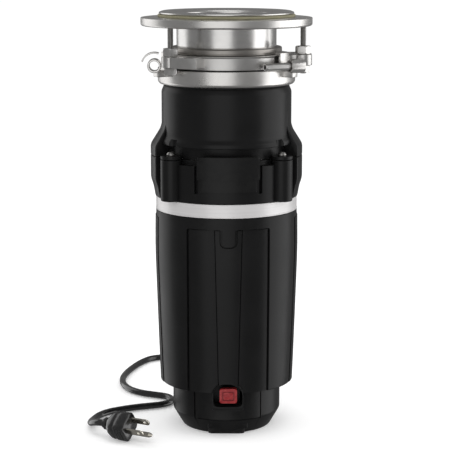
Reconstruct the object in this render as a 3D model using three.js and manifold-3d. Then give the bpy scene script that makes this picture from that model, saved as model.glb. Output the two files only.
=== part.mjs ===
// Kitchen garbage disposal with a three-bolt twist-lock sink mount. Millimetres, +Z up, front towards -Y.
// The origin is at the centre of the underside, on the motor's axis.
import * as THREE from "three";
import Module from "manifold-3d";
import { mergeVertices } from "three/addons/utils/BufferGeometryUtils.js";

const wasm = await Module();
wasm.setup();

// Clearances and facets
const gap = 0.3; // between two pieces that touch
const boltGap = 0.3; // round a shank in its hole
const roundSides = 32; // casings and rings
const shaftSides = 20; // shaft, bearings and small rings
const boltSides = 12; // studs and screws

// Widths that follow from the sink's opening: each is a step out from its neighbour
const sleeveRadius = 45; // of the sink flange's throat
const throatStep = 1; // the canister's throat is this much narrower
const chamberOverhang = 10.7; // of the grind chamber beyond its throat
const canisterWall = 4.1;
const housingWall = 9.3;
const bandStep = 0.5; // of the trim band beyond the joint housing
const bandWall = 4;
const plateRim = 10.4; // of the bearing plate round the motor can
const throatRadius = sleeveRadius - throatStep;
const chamberRadius = throatRadius + chamberOverhang;
const canisterRadius = chamberRadius + canisterWall;
const housingRadius = chamberRadius + housingWall;
const bandRadius = housingRadius + bandStep;
const canRadius = bandRadius - bandWall - gap - plateRim - gap;

// Lower cap and its feet
const capUnderside = 5;
const capRadius = canRadius; // the motor can stands on its rim
const capSlopeWidth = 9;
const capBaseRadius = capRadius - capSlopeWidth;
const capChamfer = 10; // height of the sloped edge
const capHeight = 55;
const capWall = 3;
const capFloor = 4;
const baseBossRadius = 12;
const bearingSeat = 12; // height of the lower bearing's floor
const hubWall = 4.7;
const footWidth = 34;
const footInnerRadius = 26;
const footOuterRadius = 42;
const footBossHeight = 4.5;
const footAngles = [-90, 30, 150];
const panelHalfAngle = 37;
const panelStep = 1.3;

// Reset button at the front
const buttonWidth = 16.6;
const buttonHeight = 14.4;
const buttonZ = 38.5;
const buttonStand = 9.1; // of its face beyond the cap
const buttonFace = capRadius + buttonStand;
const buttonDepth = 6;
const buttonTravel = 2.5;
const protectorWidth = 24;
const protectorDepth = 10;
const protectorHeight = 22;
const stemSize = 8;
const frameWall = 2.4;
const frameDepth = 4;

// Motor skirt
const skirtBottom = 42;
const skirtHeight = 160.3;
const skirtTopRadius = bandRadius - 0.2;
const skirtBellyRadius = bandRadius + 0.2;
const skirtTaper = 3.9; // from its top edge to its bottom edge
const skirtBottomRadius = skirtTopRadius - skirtTaper;
const skirtBellyShare = 0.76; // how far up the widest ring is
const skirtWall = 3;
const archRadius = 15;
const archRise = 9.5; // of the arch over the button, above the skirt's edge

// Motor
const shaftRadius = 5;
const bearingRadius = 11;
const bearingWidth = 8;
const sealHeight = 7;
const canWall = 2.5;
const magnetThickness = 7.4;
const magnetHalfAngle = 65;
const magnetHeight = 88;
const airGap = 0.8;
const coreHeight = 80;
const windingRadius = 31;
const windingHeight = 10;
const coreBottom = 92;
const commutatorRadius = 14;
const commutatorBottom = 64;
const commutatorHeight = 14;
const brushWidth = 8;
const brushHeight = 6;

// Trim band and bearing plate
const bandHeight = 12;
const plateTop = 3.4; // of the bearing plate above the band
const canSeatDepth = 7.4;

// Joint housing
const housingHeight = 37.1;
const ledgeDrop = 4; // from the columns' top to the housing's shoulder
const housingNeck = chamberRadius + 3.3;
const frontPlateRadius = housingRadius + 2.5;
const frontPlateHalfAngle = 25.5;
const bulgeRadius = housingRadius + 4.9;
const bulgeHalfAngle = 23;
const bulgeFoot = 0.9; // of its foot beyond the housing
const columnAngles = [40, 140, 220, 320];
const columnCircle = housingRadius;
const columnRadius = 9.5;
const screwRadius = 2.2;
const screwHeadRadius = 4;
const screwHeadHeight = 3;
const screwDepth = 14;
const outletRadius = 16;
const outletWall = 2;
const outletRise = 18.6; // of its middle above the housing's foot
const outletBossFace = frontPlateRadius + 3.5;
const outletReach = outletBossFace + 26;
const outletBossWidth = 50;
const outletPlate = 3.5;

// Grind chamber
const ledgeWidth = 7.2;
const ledgeThickness = 3;
const ledgeBelowTop = 5;
const grindRingHeight = 18.7;
const grindRingWall = 7.6;
const grindTeeth = 12;
const toothWidth = 4;
const toothDepth = 2.4;
const turntableGap = 0.6;
const turntableThickness = 3;
const turntableRise = 8.7; // of its underside above the grind ring's foot
const turntableHub = 9;
const turntableHubDrop = 9;
const turntableNutRadius = 8;
const turntableNutHeight = 6;
const pivotRadius = 2.4;
const pivotHeight = 8;
const impellerInset = 2.2; // of its hammer from the turntable's edge
const impellerArm = 12;
const impellerTail = 9;
const impellerWidth = 13;
const impellerThickness = 5;
const hammerHeight = 5;
const hammerLength = 7;
const linerWall = 1.5;
const linerConeHeight = 7;

// Canister
const rimRadius = canisterRadius + 3.7;
const rimRise = 4; // from the canister's foot to its rim
const rimHeight = 6;
const canisterHeight = 59.2; // to the shoulder
const shoulderRound = 3.5;
const coneHeight = 11;
const neckRadius = throatRadius + 5.5;
const neckHeight = 9.5;
const lipRadius = neckRadius + 6.5;
const lipHeight = 3;
const lugThickness = 3;
const wedgeHeight = 16; // of the side shoulders
const wedgeEdge = 5; // of their upright edge
const inletAngle = 90;
const inletRise = 36;
const inletRadius = 9.5;
const inletBore = 6;
const inletReach = 84;

// Lock ring and its rubber
const lockRingRise = 4.9; // above the canister's shoulder
const lockRingHeight = 14.2;
const lockRingWall = 2;
const mountRingRadius = sleeveRadius + 12;
const lockRingRadius = mountRingRadius + 5;
const gasketStep = 2.6;
const lockRingLip = neckRadius + gap + gasketStep + 1.1;
const lockRingLipHeight = 2.2;
const earAngles = [208, 328, 88];
const earCircle = lockRingRadius + 10;
const earTurn = 242; // from an ear's angle to its tube's direction
const earZAboveRing = 3.7;
const earRadius = 6.2;
const earBore = 4.2;
const bracketWidth = 11;
const bracketHeight = 5;
const earLength = 14;
const hookHalfAngle = 9;
const hookReach = 5;
const hookThickness = 2;
const pinRadius = 3.4;
const pinWall = 1;
const pinLength = 38;
const pinOffset = -13;
const guardHeight = 6.4;
const guardHole = 12;
const guardFlap = 2.2;
const guardSlots = 8;
const guardSlotWidth = 1.5;
const guardSlotEnd = 36;

// Upper mounting ring, studs and nuts
const mountRingHeight = 12.3;
const mountRingWall = 3;
const mountWeb = 2.8;
const studAngles = [226, 346, 106];
const studCircle = mountRingRadius + 13.3;
const studRadius = 2.7;
const bossRadius = 8;
const bossHeight = 9.8;
const strapSweep = 24; // how far round the ring a strap runs from its boss
const strapLead = 4; // how far it starts on the boss's other side
const strapRise = 1.6; // of its far end beyond the ring
const webReach = mountRingRadius + 4.5;
const webWidth = 12;
const webHeight = 3.7;
const clampNutRadius = 7.4;
const clampNutHeight = 7;
const lockNutRadius = 6.5;
const lockNutHeight = 6;
const collarRadius = sleeveRadius + 5;
const collarHeight = 5.7;
const snapRingRadius = sleeveRadius + 5;
const snapRingHeight = 2.6;
const snapRingGap = 8;

// Sink flange, gasket and support ring
const sleeveWall = 1.8;
const sleeveHeight = 47.3;
const supportRadius = studCircle + 6.9;
const supportHeight = 7.6;
const sinkGasketRadius = sleeveRadius + 17;
const sinkGasketHeight = 2.2;
const rimFlangeRadius = sleeveRadius + 16;
const rimFlangeHeight = 3;
const flangeSides = 24;
const seatLip = 0.3; // of the support ring round the gasket's seat

// Power cord, its relief and its plug
const cordRadius = 3.1;
const cordSides = 8;
const reliefX = 24;
const reliefZ = 26;
const reliefFace = capRadius + 0.5;
const reliefLength = 26;
const reliefFlange = 9;
const reliefNeck = 6.2;
const cordBossWidth = 26;
const coilCentre = [-4, 152];
const coilRadius = 31;
const coilHeight = 19;
const leadPoints = [[24, 76.3, 26], [24.2, 88, 25.4], [25.2, 103, 21.6], [26.6, 117, 18.4], [27, 130, 17.4]];
const runPoints = [
  [-8, 190, 3.3], [-30, 202.5, 3.3], [-52, 214, 3.3], [-68, 218.5, 3.3], [-80, 213, 3.3], [-89, 199, 3.3],
  [-97, 178, 3.3], [-103.6, 151, 3.3], [-105.4, 131, 3.3], [-102.5, 110, 3.3], [-94.5, 92, 3.3],
  [-83, 80.5, 3.3], [-70, 74, 3.3], [-59.5, 68.5, 3.3], [-53.5, 60, 3.3], [-53.7, 50, 3.3], [-60.5, 41.5, 3.3],
  [-71.5, 36.5, 3.3], [-84, 32, 3.3], [-99, 24.5, 3.3], [-111.5, 15.5, 3.3], [-119.5, 4.5, 3.3],
  [-123.8, -9, 3.4], [-125.2, -21, 4.6], [-124.2, -31, 7], [-120.8, -41, 10.4], [-116, -48.2, 12.5],
  [-111.5, -50.8, 12.8],
];
const plugPoint = [-111, -51, 12.8]; // where the cord enters the plug
const plugHeading = -28;
const plugRadius = 12.5;
const plugLength = 28;
const plugTail = 8;
const bladeSpacing = 12.7;
const bladeLength = 17;
const bladeWidth = 6.4;
const bladeThickness = 1.6;
const groundRadius = 2.4;
const groundLength = 20;
const groundOffset = 7;
const plugRoll = 35;

// Levels that follow from the sizes above
const capTop = capUnderside + capHeight;
const skirtTop = skirtBottom + skirtHeight;
const bandBottom = skirtTop + gap;
const bandTop = bandBottom + bandHeight;
const housingBottom = bandTop + gap;
const columnTop = housingBottom + housingHeight;
const outletZ = housingBottom + outletRise;
const canisterBottom = columnTop + gap;
const shoulder = canisterBottom + canisterHeight;
const lipBottom = shoulder + neckHeight;
const lipTop = lipBottom + lipHeight;
const lockRingBottom = shoulder + lockRingRise;
const lockRingTop = lockRingBottom + lockRingHeight;
const guardTop = lipTop + gap + guardHeight;
const mountRingBottom = guardTop + gap;
const mountRingTop = mountRingBottom + mountRingHeight;
const sleeveTop = mountRingBottom + sleeveHeight;
const sinkGasketBottom = sleeveTop - gap - sinkGasketHeight;
const supportBottom = sinkGasketBottom - gap - supportHeight;
const ledgeTop = columnTop - ledgeBelowTop;
const grindRingBottom = ledgeTop + gap;
const grindRingInner = chamberRadius - gap - grindRingWall;
const turntableBottom = grindRingBottom + turntableRise;
const turntableTop = turntableBottom + turntableThickness;
const turntableRadius = grindRingInner - turntableGap;
const pivotCircle = turntableRadius - impellerArm - impellerInset;
const shaftTop = turntableTop + gap + turntableNutHeight + 1;
const canInner = canRadius - canWall;
const magnetInner = canInner - gap - magnetThickness;
const coreRadius = magnetInner - airGap;
const boreRadius = shaftRadius + gap;
const bearingPocket = bearingRadius + gap;
const skirtInner = (radius) => radius - skirtWall;
const radians = (degrees) => (degrees * Math.PI) / 180;

const part = new THREE.Group();
const housing = new THREE.Group(); // everything that stands still
const rotor = new THREE.Group();
const twistLock = new THREE.Group(); // the lock ring and the pin in its ear
part.add(housing, rotor, twistLock);

// Materials

const finish = (color, roughness, metalness) => new THREE.MeshStandardMaterial(
  { color, roughness, metalness },
);
const brushedSteel = () => finish(0xc8c6c1, 0.34, 1);
const darkSteel = () => finish(0x6d6c69, 0.45, 1);
const blackPlastic = () => finish(0x1c1c1d, 0.5, 0);
const blackRubber = () => finish(0x141414, 0.8, 0);
const fibre = () => finish(0x8f8c6b, 0.9, 0);
const redPlastic = () => finish(0x97202a, 0.4, 0);
const copper = () => finish(0xb26a3c, 0.4, 1);
const nickel = () => finish(0xb9b5a4, 0.3, 1);

// Shapes and joins

const toSolid = (geometry) => {
  const bare = geometry.clone();
  bare.deleteAttribute("normal");
  bare.deleteAttribute("uv");
  const merged = mergeVertices(bare, 1e-4);
  return new wasm.Manifold(
    new wasm.Mesh({
      numProp: 3,
      vertProperties: new Float32Array(merged.attributes.position.array),
      triVerts: new Uint32Array(merged.index.array),
    }),
  );
};

const toGeometry = (solid) => {
  const mesh = solid.getMesh();
  return new THREE.BufferGeometry()
    .setAttribute("position", new THREE.BufferAttribute(mesh.vertProperties, 3))
    .setIndex(new THREE.BufferAttribute(mesh.triVerts, 1));
};

const join = (first, ...others) => others.reduce((solid, other) => solid.add(other), first);
const cut = (first, ...others) => others.reduce((solid, other) => solid.subtract(other), first);

// A ring turned about Z from a closed outline of [radius, z], listed anticlockwise.
const ring = (outline, sides = roundSides) => {
  const points = [...outline, outline[0]].map(([radius, z]) => new THREE.Vector2(radius, z));
  return new THREE.LatheGeometry(points, sides).rotateX(Math.PI / 2);
};

// A turned piece without a hole: its outline starts and ends on the axis.
const turned = (outline, sides = roundSides) => {
  const points = outline.map(([radius, z]) => new THREE.Vector2(radius, z));
  return new THREE.LatheGeometry(points, sides).rotateX(Math.PI / 2);
};

const plainRing = (inner, outer, bottom, top, sides = roundSides) =>
  ring([[inner, bottom], [outer, bottom], [outer, top], [inner, top]], sides);

const disc = (radius, bottom, top, sides = roundSides) =>
  turned([[0, bottom], [radius, bottom], [radius, top], [0, top]], sides);

const block = (width, depth, height, x, y, z) => new THREE.BoxGeometry(width, depth, height).translate(x, y, z);

// A plate cut to an outline of [x, y] between two heights.
const plate = (outline, bottom, top) => {
  const shape = new THREE.Shape(outline.map(([x, y]) => new THREE.Vector2(x, y)));
  return new THREE.ExtrudeGeometry(shape, { depth: top - bottom, bevelEnabled: false }).translate(0, 0, bottom);
};

const onCircle = (radius, degrees) => [
  radius * Math.cos(radians(degrees)), radius * Math.sin(radians(degrees)),
];

// What lies within an angle either side of a direction.
const sector = (solid, degrees, halfAngle) => {
  const reach = 200;
  const wedge = plate(
    [
      [0, 0], onCircle(reach, degrees - halfAngle), onCircle(reach, degrees), onCircle(reach, degrees + halfAngle),
    ],
    -reach,
    2 * reach,
  );
  return solid.intersect(toSolid(wedge));
};

// A hexagonal nut with a round hole.
const hexNut = (radius, hole, bottom, height) => {
  const corners = [0, 60, 120, 180, 240, 300].map(
    (degrees) => new THREE.Vector2(...onCircle(radius, degrees)),
  );
  const shape = new THREE.Shape(corners);
  const opening = new THREE.Path().absarc(0, 0, hole, 0, 2 * Math.PI);
  shape.holes.push(new THREE.Path(opening.getPoints(boltSides / 2).slice(0, boltSides)));
  return new THREE.ExtrudeGeometry(shape, { depth: height, bevelEnabled: false }).translate(0, 0, bottom);
};

const standing = (radius, bottom, top, x, y, sides = boltSides) => disc(radius, bottom, top, sides).translate(x, y, 0);

// A turned piece laid along +Y, with its own start at y = 0.
const alongY = (geometry) => geometry.rotateX(-Math.PI / 2);

const place = (parent, name, geometry, material) => {
  const mesh = new THREE.Mesh(geometry, material);
  mesh.name = name;
  parent.add(mesh);
  return mesh;
};

const placeSolid = (parent, name, solid, material) => place(parent, name, toGeometry(solid), material);

// Sink flange, gasket and support ring

function sinkFlange() {
  const inner = sleeveRadius - sleeveWall;
  const outline = [
    [inner, mountRingBottom],
    [sleeveRadius, mountRingBottom],
    [sleeveRadius, sleeveTop],
    [rimFlangeRadius, sleeveTop],
    [rimFlangeRadius, sleeveTop + rimFlangeHeight],
    [inner, sleeveTop + rimFlangeHeight],
  ];
  place(housing, "sink_flange", ring(outline, flangeSides), brushedSteel());
}

function supportStack() {
  const inner = sleeveRadius + gap;
  const gasket = plainRing(inner, sinkGasketRadius, sinkGasketBottom, sinkGasketBottom + sinkGasketHeight);
  place(housing, "sink_gasket", gasket, fibre());
  const seatTop = supportBottom + supportHeight;
  const support = ring([
    [inner, supportBottom],
    [supportRadius, supportBottom],
    [supportRadius, seatTop + seatLip],
    [sinkGasketRadius + gap, seatTop + seatLip],
    [sinkGasketRadius + gap, seatTop],
    [inner, seatTop],
  ]);
  place(housing, "backup_ring", support, brushedSteel());
}

// Upper mounting ring with its stud bosses, straps and webs

function upperMountingRing() {
  const inner = sleeveRadius + gap;
  const wallInner = mountRingRadius - mountRingWall;
  const webBottom = mountRingTop - mountWeb;
  let body = toSolid(
    ring([
      [inner, webBottom],
      [wallInner, webBottom],
      [wallInner, mountRingBottom],
      [mountRingRadius, mountRingBottom],
      [mountRingRadius, mountRingTop],
      [inner, mountRingTop],
    ]),
  );
  const bossBottom = mountRingTop - bossHeight;
  const rootRadius = mountRingRadius - mountRingWall / 2;
  for (const angle of studAngles) {
    const [x, y] = onCircle(studCircle, angle);
    const strap = plate(
      [
        onCircle(rootRadius, angle - strapLead),
        onCircle(studCircle - bossRadius / 2, angle - strapLead),
        onCircle(studCircle + bossRadius - 1, angle + strapLead / 2),
        onCircle(mountRingRadius + strapRise, angle + strapSweep),
        onCircle(rootRadius, angle + strapSweep),
      ],
      bossBottom,
      mountRingTop,
    );
    const web = block(webReach - collarRadius - gap, webWidth, webHeight + mountWeb, 0, 0, 0)
      .translate((webReach + collarRadius + gap) / 2, 0, mountRingTop + (webHeight - mountWeb) / 2)
      .rotateZ(radians(angle));
    const boss = standing(bossRadius, bossBottom, mountRingTop, x, y);
    const hole = standing(studRadius + boltGap, bossBottom - 1, mountRingTop + 1, x, y);
    body = cut(join(body, toSolid(strap), toSolid(web), toSolid(boss)), toSolid(hole));
  }
  placeSolid(housing, "upper_mounting_ring", body, brushedSteel());
}

function studsAndNuts() {
  const bossBottom = mountRingTop - bossHeight;
  studAngles.forEach((angle, index) => {
    const [x, y] = onCircle(studCircle, angle);
    const stud = standing(studRadius, bossBottom - gap - lockNutHeight - 1, supportBottom - gap, x, y);
    place(housing, `stud_${index + 1}`, stud, darkSteel());
    const nut = (radius, bottom, height) =>
      hexNut(radius, studRadius + boltGap, bottom, height).rotateZ(radians(angle)).translate(x, y, 0);
    place(
      housing, `clamp_nut_${index + 1}`, nut(clampNutRadius, mountRingTop + gap, clampNutHeight), brushedSteel(),
    );
    const lockNut = nut(lockNutRadius, bossBottom - gap - lockNutHeight, lockNutHeight);
    place(housing, `lock_nut_${index + 1}`, lockNut, brushedSteel());
  });
}

function collarAndSnapRing() {
  const inner = sleeveRadius + gap;
  const collarBottom = mountRingTop + gap;
  const collar = plainRing(inner, collarRadius, collarBottom, collarBottom + collarHeight);
  place(housing, "collar_seal", collar, blackRubber());
  const top = mountRingTop - mountWeb - gap;
  const closed = toSolid(plainRing(inner, snapRingRadius, top - snapRingHeight, top));
  const opening = block(snapRingGap, 20, snapRingHeight + 2, 0, -snapRingRadius, top - snapRingHeight / 2);
  placeSolid(housing, "snap_ring", cut(closed, toSolid(opening)), darkSteel());
}

// Lock ring with three rolled ears and the hooks that ride on the mounting ring

function lockRing() {
  const wallInner = lockRingRadius - lockRingWall;
  const lipTopZ = lockRingBottom + lockRingLipHeight;
  let body = toSolid(
    ring([
      [lockRingLip, lockRingBottom],
      [lockRingRadius - 1.5, lockRingBottom],
      [lockRingRadius, lockRingBottom + 1.8],
      [lockRingRadius, lockRingTop],
      [wallInner, lockRingTop],
      [wallInner, lipTopZ],
      [lockRingLip, lipTopZ],
    ]),
  );
  const earZ = lockRingTop + earZAboveRing;
  const hookBottom = mountRingTop + gap;
  const hook = toSolid(
    ring([
      [wallInner, lockRingTop - 1],
      [lockRingRadius, lockRingTop - 1],
      [lockRingRadius, hookBottom + hookThickness],
      [wallInner - hookReach, hookBottom + hookThickness],
      [wallInner - hookReach, hookBottom],
      [wallInner, hookBottom],
    ]),
  );
  for (const angle of earAngles) {
    const [x, y] = onCircle(earCircle, angle);
    const bracketDepth = earCircle - wallInner - 1;
    const bracket = block(bracketDepth, bracketWidth, bracketHeight, 0, 0, lockRingTop - bracketHeight / 2)
      .translate(wallInner + 0.5 + bracketDepth / 2, 0, 0)
      .rotateZ(radians(angle));
    const layTube = (radius, length) =>
      alongY(disc(radius, -length / 2, length / 2, shaftSides))
        .rotateZ(radians(angle + earTurn - 90))
        .translate(x, y, earZ);
    body = join(
      body, sector(hook, angle, hookHalfAngle), toSolid(bracket), toSolid(layTube(earRadius, earLength)),
    );
    body = cut(body, toSolid(layTube(earBore, earLength + 20)));
  }
  placeSolid(twistLock, "lock_ring", body, brushedSteel());
}

function earPin() {
  const angle = earAngles[1];
  const [x, y] = onCircle(earCircle, angle);
  const tube = plainRing(pinRadius - pinWall, pinRadius, -pinLength / 2, pinLength / 2, boltSides)
    .translate(0, 0, pinOffset);
  const laid = alongY(tube).rotateZ(radians(angle + earTurn + 90)).translate(
    x, y, lockRingTop + earZAboveRing,
  );
  place(twistLock, "ear_pin", laid, brushedSteel());
}

function rubberSeals() {
  const inner = neckRadius + gap;
  const ledge = lockRingBottom + lockRingLipHeight + gap;
  const top = lipBottom - gap;
  const outer = neckRadius + gap + gasketStep;
  const gasket = ring([
    [inner, shoulder + gap],
    [outer, shoulder + gap],
    [outer, ledge],
    [lipRadius, ledge],
    [lipRadius, top],
    [inner, top],
  ]);
  place(housing, "mounting_gasket", gasket, blackRubber());

  const bottom = lipTop + gap;
  let guard = toSolid(
    ring([
      [guardHole, bottom],
      [lipRadius, bottom],
      [lipRadius, guardTop],
      [throatRadius - 2, guardTop],
      [throatRadius - 2, bottom + guardFlap],
      [guardHole, bottom + guardFlap],
    ]),
  );
  const slotLength = guardSlotEnd - guardHole + 4;
  for (let i = 0; i < guardSlots; i += 1) {
    const slot = block(
      slotLength, guardSlotWidth, 3 * guardFlap, guardSlotEnd - slotLength / 2, 0, bottom + 1,
    )
      .rotateZ((2 * Math.PI * (i + 0.5)) / guardSlots);
    guard = cut(guard, toSolid(slot));
  }
  placeSolid(housing, "splash_guard", guard, blackRubber());
}

// Canister: the grind chamber's shell, with side shoulders, screw lugs and the dishwasher inlet

function inletTube(radius, start, end, sides = boltSides) {
  return alongY(disc(radius, start, end, sides))
    .rotateZ(radians(inletAngle - 90))
    .translate(0, 0, canisterBottom + inletRise);
}

function canister() {
  const rimBottom = canisterBottom + rimRise;
  const rimTop = rimBottom + rimHeight;
  const chamberTop = shoulder - coneHeight;
  let body = toSolid(
    ring([
      [chamberRadius, canisterBottom],
      [housingNeck, canisterBottom],
      [housingNeck, rimBottom],
      [rimRadius, rimBottom],
      [rimRadius, rimTop],
      [canisterRadius, rimTop + 6],
      [canisterRadius, shoulder - shoulderRound],
      [canisterRadius - 1.2, shoulder - 1.2],
      [canisterRadius - shoulderRound, shoulder],
      [neckRadius, shoulder],
      [neckRadius, lipBottom],
      [lipRadius, lipBottom],
      [lipRadius, lipTop],
      [throatRadius, lipTop],
      [throatRadius, shoulder - 1],
      [chamberRadius, chamberTop],
    ]),
  );
  const shoulderWedge = toSolid(
    ring([
      [chamberRadius + 1, canisterBottom],
      [bulgeRadius, canisterBottom],
      [bulgeRadius, canisterBottom + wedgeEdge],
      [canisterRadius, canisterBottom + wedgeHeight],
      [chamberRadius + 1, canisterBottom + wedgeHeight],
    ]),
  );
  for (const side of [0, 180]) body = join(body, sector(shoulderWedge, side, bulgeHalfAngle));
  const lugBore = toSolid(disc(chamberRadius, canisterBottom - 1, canisterBottom + lugThickness + 1));
  for (const angle of columnAngles) {
    const [x, y] = onCircle(columnCircle, angle);
    const lug = cut(
      toSolid(standing(columnRadius, canisterBottom, canisterBottom + lugThickness, x, y)), lugBore,
    );
    const headBottom = canisterBottom + lugThickness;
    const headRoom = standing(screwHeadRadius + 1, headBottom, headBottom + screwHeadHeight + 8, x, y);
    const hole = standing(screwRadius + boltGap, canisterBottom - 1, headBottom + 1, x, y);
    body = cut(join(body, lug), toSolid(headRoom), toSolid(hole));
  }
  const nipple = toSolid(inletTube(inletRadius, chamberRadius + 1, inletReach));
  body = cut(join(body, nipple), toSolid(inletTube(inletBore, 0, inletReach + 2)));
  placeSolid(housing, "canister", body, blackPlastic());
}

// Joint housing: the lower half of the bolted joint, with the sump and the drain's mouth

function jointHousing() {
  const shoulderZ = columnTop - ledgeDrop;
  const flatRing = (outer, bottom, top) => toSolid(plainRing(chamberRadius + 0.5, outer, bottom, top));
  let body = toSolid(
    ring([
      [chamberRadius, housingBottom],
      [housingRadius, housingBottom],
      [housingRadius, shoulderZ],
      [housingNeck, shoulderZ],
      [housingNeck, columnTop],
      [chamberRadius, columnTop],
    ]),
  );
  const bulge = toSolid(
    ring([
      [chamberRadius + 0.5, housingBottom],
      [housingRadius + bulgeFoot, housingBottom],
      [bulgeRadius - 2.2, housingBottom + 10],
      [bulgeRadius, housingBottom + 16],
      [bulgeRadius, columnTop],
      [chamberRadius + 0.5, columnTop],
    ]),
  );
  for (const side of [0, 180]) body = join(body, sector(bulge, side, bulgeHalfAngle));
  const frontPlates = flatRing(frontPlateRadius, housingBottom + 2, shoulderZ);
  for (const side of [90, 270]) body = join(body, sector(frontPlates, side, frontPlateHalfAngle));

  const sump = toSolid(disc(chamberRadius, housingBottom - 1, columnTop + 1));
  for (const angle of columnAngles) {
    const [x, y] = onCircle(columnCircle, angle);
    const column = cut(toSolid(standing(columnRadius, housingBottom, columnTop, x, y)), sump);
    const hole = standing(screwRadius + boltGap, columnTop - screwDepth - 2, columnTop + 1, x, y);
    body = cut(join(body, column), toSolid(hole));
  }

  const bossHeightZ = columnTop - ledgeDrop / 2 - housingBottom;
  const outletBoss = cut(
    toSolid(block(outletBossWidth, 30, bossHeightZ, 0, outletBossFace - 15, housingBottom + bossHeightZ / 2)),
    sump,
  );
  const mouth = alongY(disc(outletRadius + gap, 30, outletBossFace + 5, shaftSides)).translate(0, 0, outletZ);
  body = cut(join(body, outletBoss), toSolid(mouth));

  const ledge = plainRing(
    chamberRadius - ledgeWidth, chamberRadius + 0.5, ledgeTop - ledgeThickness, ledgeTop,
  );
  body = join(body, cut(toSolid(ledge), toSolid(mouth)));
  placeSolid(housing, "joint_housing", body, blackPlastic());
}

function dischargeOutlet() {
  const start = chamberRadius + 0.5;
  const tube = toSolid(alongY(disc(outletRadius, start, outletReach, shaftSides)).translate(0, 0, outletZ));
  const bore = alongY(disc(outletRadius - outletWall, start - 1, outletReach + 1, shaftSides)).translate(0, 0, outletZ);
  const plateY = outletBossFace + gap + outletPlate / 2;
  const flange = block(outletBossWidth - 4, outletPlate, 2 * outletRadius + 2, 0, plateY, outletZ);
  placeSolid(housing, "discharge_outlet", cut(join(tube, toSolid(flange)), toSolid(bore)), blackPlastic());
}

function jointScrews() {
  const headBottom = canisterBottom + lugThickness + gap;
  columnAngles.forEach((angle, index) => {
    const [x, y] = onCircle(columnCircle, angle);
    const screw = turned(
      [
        [0, columnTop - screwDepth],
        [screwRadius, columnTop - screwDepth],
        [screwRadius, headBottom],
        [screwHeadRadius, headBottom],
        [screwHeadRadius, headBottom + screwHeadHeight],
        [0, headBottom + screwHeadHeight],
      ],
      boltSides,
    ).translate(x, y, 0);
    place(housing, `joint_screw_${index + 1}`, screw, brushedSteel());
  });
}

// Grind chamber's inner pieces

function chamberLiner() {
  const outer = chamberRadius - gap;
  const bottom = grindRingBottom + grindRingHeight + gap;
  const chamberTop = shoulder - coneHeight - 0.4;
  const slope = (chamberRadius - throatRadius) / (coneHeight - 1);
  const coneTop = chamberTop + linerConeHeight;
  const liner = toSolid(
    ring([
      [outer - linerWall, bottom],
      [outer, bottom],
      [outer, chamberTop],
      [outer - linerConeHeight * slope, coneTop],
      [outer - linerConeHeight * slope - linerWall, coneTop],
      [outer - linerWall, chamberTop],
    ]),
  );
  const inletHole = toSolid(inletTube(inletBore + 1, 0, inletReach));
  placeSolid(housing, "chamber_liner", cut(liner, inletHole), brushedSteel());
}

function grindRing() {
  const outer = chamberRadius - gap;
  const top = grindRingBottom + grindRingHeight;
  let body = toSolid(plainRing(grindRingInner, outer, grindRingBottom, top));
  for (let i = 0; i < grindTeeth; i += 1) {
    const notch = block(2 * toothDepth + 2, toothWidth, grindRingHeight + 2, grindRingInner - 1, 0, top - 6)
      .rotateZ((2 * Math.PI * i) / grindTeeth);
    body = cut(body, toSolid(notch));
  }
  placeSolid(housing, "grind_ring", body, darkSteel());
}

function chamberBase() {
  const top = bandTop + plateTop;
  const rimInner = canRadius + gap;
  const canSeat = bandBottom + canSeatDepth;
  const hub = bearingPocket + hubWall;
  const base = ring([
    [bearingPocket, bandBottom],
    [hub, bandBottom],
    [hub, canSeat],
    [rimInner, canSeat],
    [rimInner, bandBottom],
    [bandRadius - bandWall - gap, bandBottom],
    [bandRadius - bandWall - gap, bandTop],
    [chamberRadius - gap, bandTop],
    [chamberRadius - gap, top],
    [hub, top],
    [hub, top + 5],
    [bearingPocket, top + 5],
  ]);
  place(housing, "chamber_base", base, darkSteel());
}

function bearingsAndSeal() {
  const bearing = (bottom) => plainRing(boreRadius, bearingRadius, bottom, bottom + bearingWidth, shaftSides);
  place(housing, "lower_bearing", bearing(bearingSeat + gap), brushedSteel());
  const upperBottom = bandBottom + 1;
  place(housing, "upper_bearing", bearing(upperBottom), brushedSteel());
  const sealBottom = upperBottom + bearingWidth + gap;
  const seal = plainRing(boreRadius, bearingRadius, sealBottom, sealBottom + sealHeight, shaftSides);
  place(housing, "shaft_seal", seal, blackRubber());
}

// Rotor: shaft, armature, commutator, turntable and its nut

function rotorPieces() {
  const spindle = disc(shaftRadius, bearingSeat + 1, shaftTop, shaftSides);
  place(rotor, "shaft", spindle, brushedSteel());

  const coreTop = coreBottom + coreHeight;
  const armature = ring([
    [boreRadius, coreBottom - windingHeight],
    [windingRadius, coreBottom - windingHeight],
    [windingRadius, coreBottom],
    [coreRadius, coreBottom],
    [coreRadius, coreTop],
    [windingRadius, coreTop],
    [windingRadius, coreTop + windingHeight],
    [boreRadius, coreTop + windingHeight],
  ]);
  place(rotor, "armature", armature, copper());

  const commutatorTop = commutatorBottom + commutatorHeight;
  const commutator = plainRing(boreRadius, commutatorRadius, commutatorBottom, commutatorTop, shaftSides);
  place(rotor, "commutator", commutator, copper());

  let table = toSolid(
    ring([
      [boreRadius, turntableBottom - turntableHubDrop],
      [turntableHub, turntableBottom - turntableHubDrop],
      [turntableHub, turntableBottom],
      [turntableRadius, turntableBottom],
      [turntableRadius, turntableTop],
      [boreRadius, turntableTop],
    ]),
  );
  for (const side of [-1, 1]) {
    const pivot = standing(
      pivotRadius, turntableBottom + 1, turntableTop + pivotHeight, side * pivotCircle, 0,
    );
    table = join(table, toSolid(pivot));
  }
  placeSolid(rotor, "turntable", table, brushedSteel());

  const nut = hexNut(turntableNutRadius, boreRadius + 0.2, turntableTop + gap, turntableNutHeight);
  place(rotor, "turntable_nut", nut, brushedSteel());
}

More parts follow.
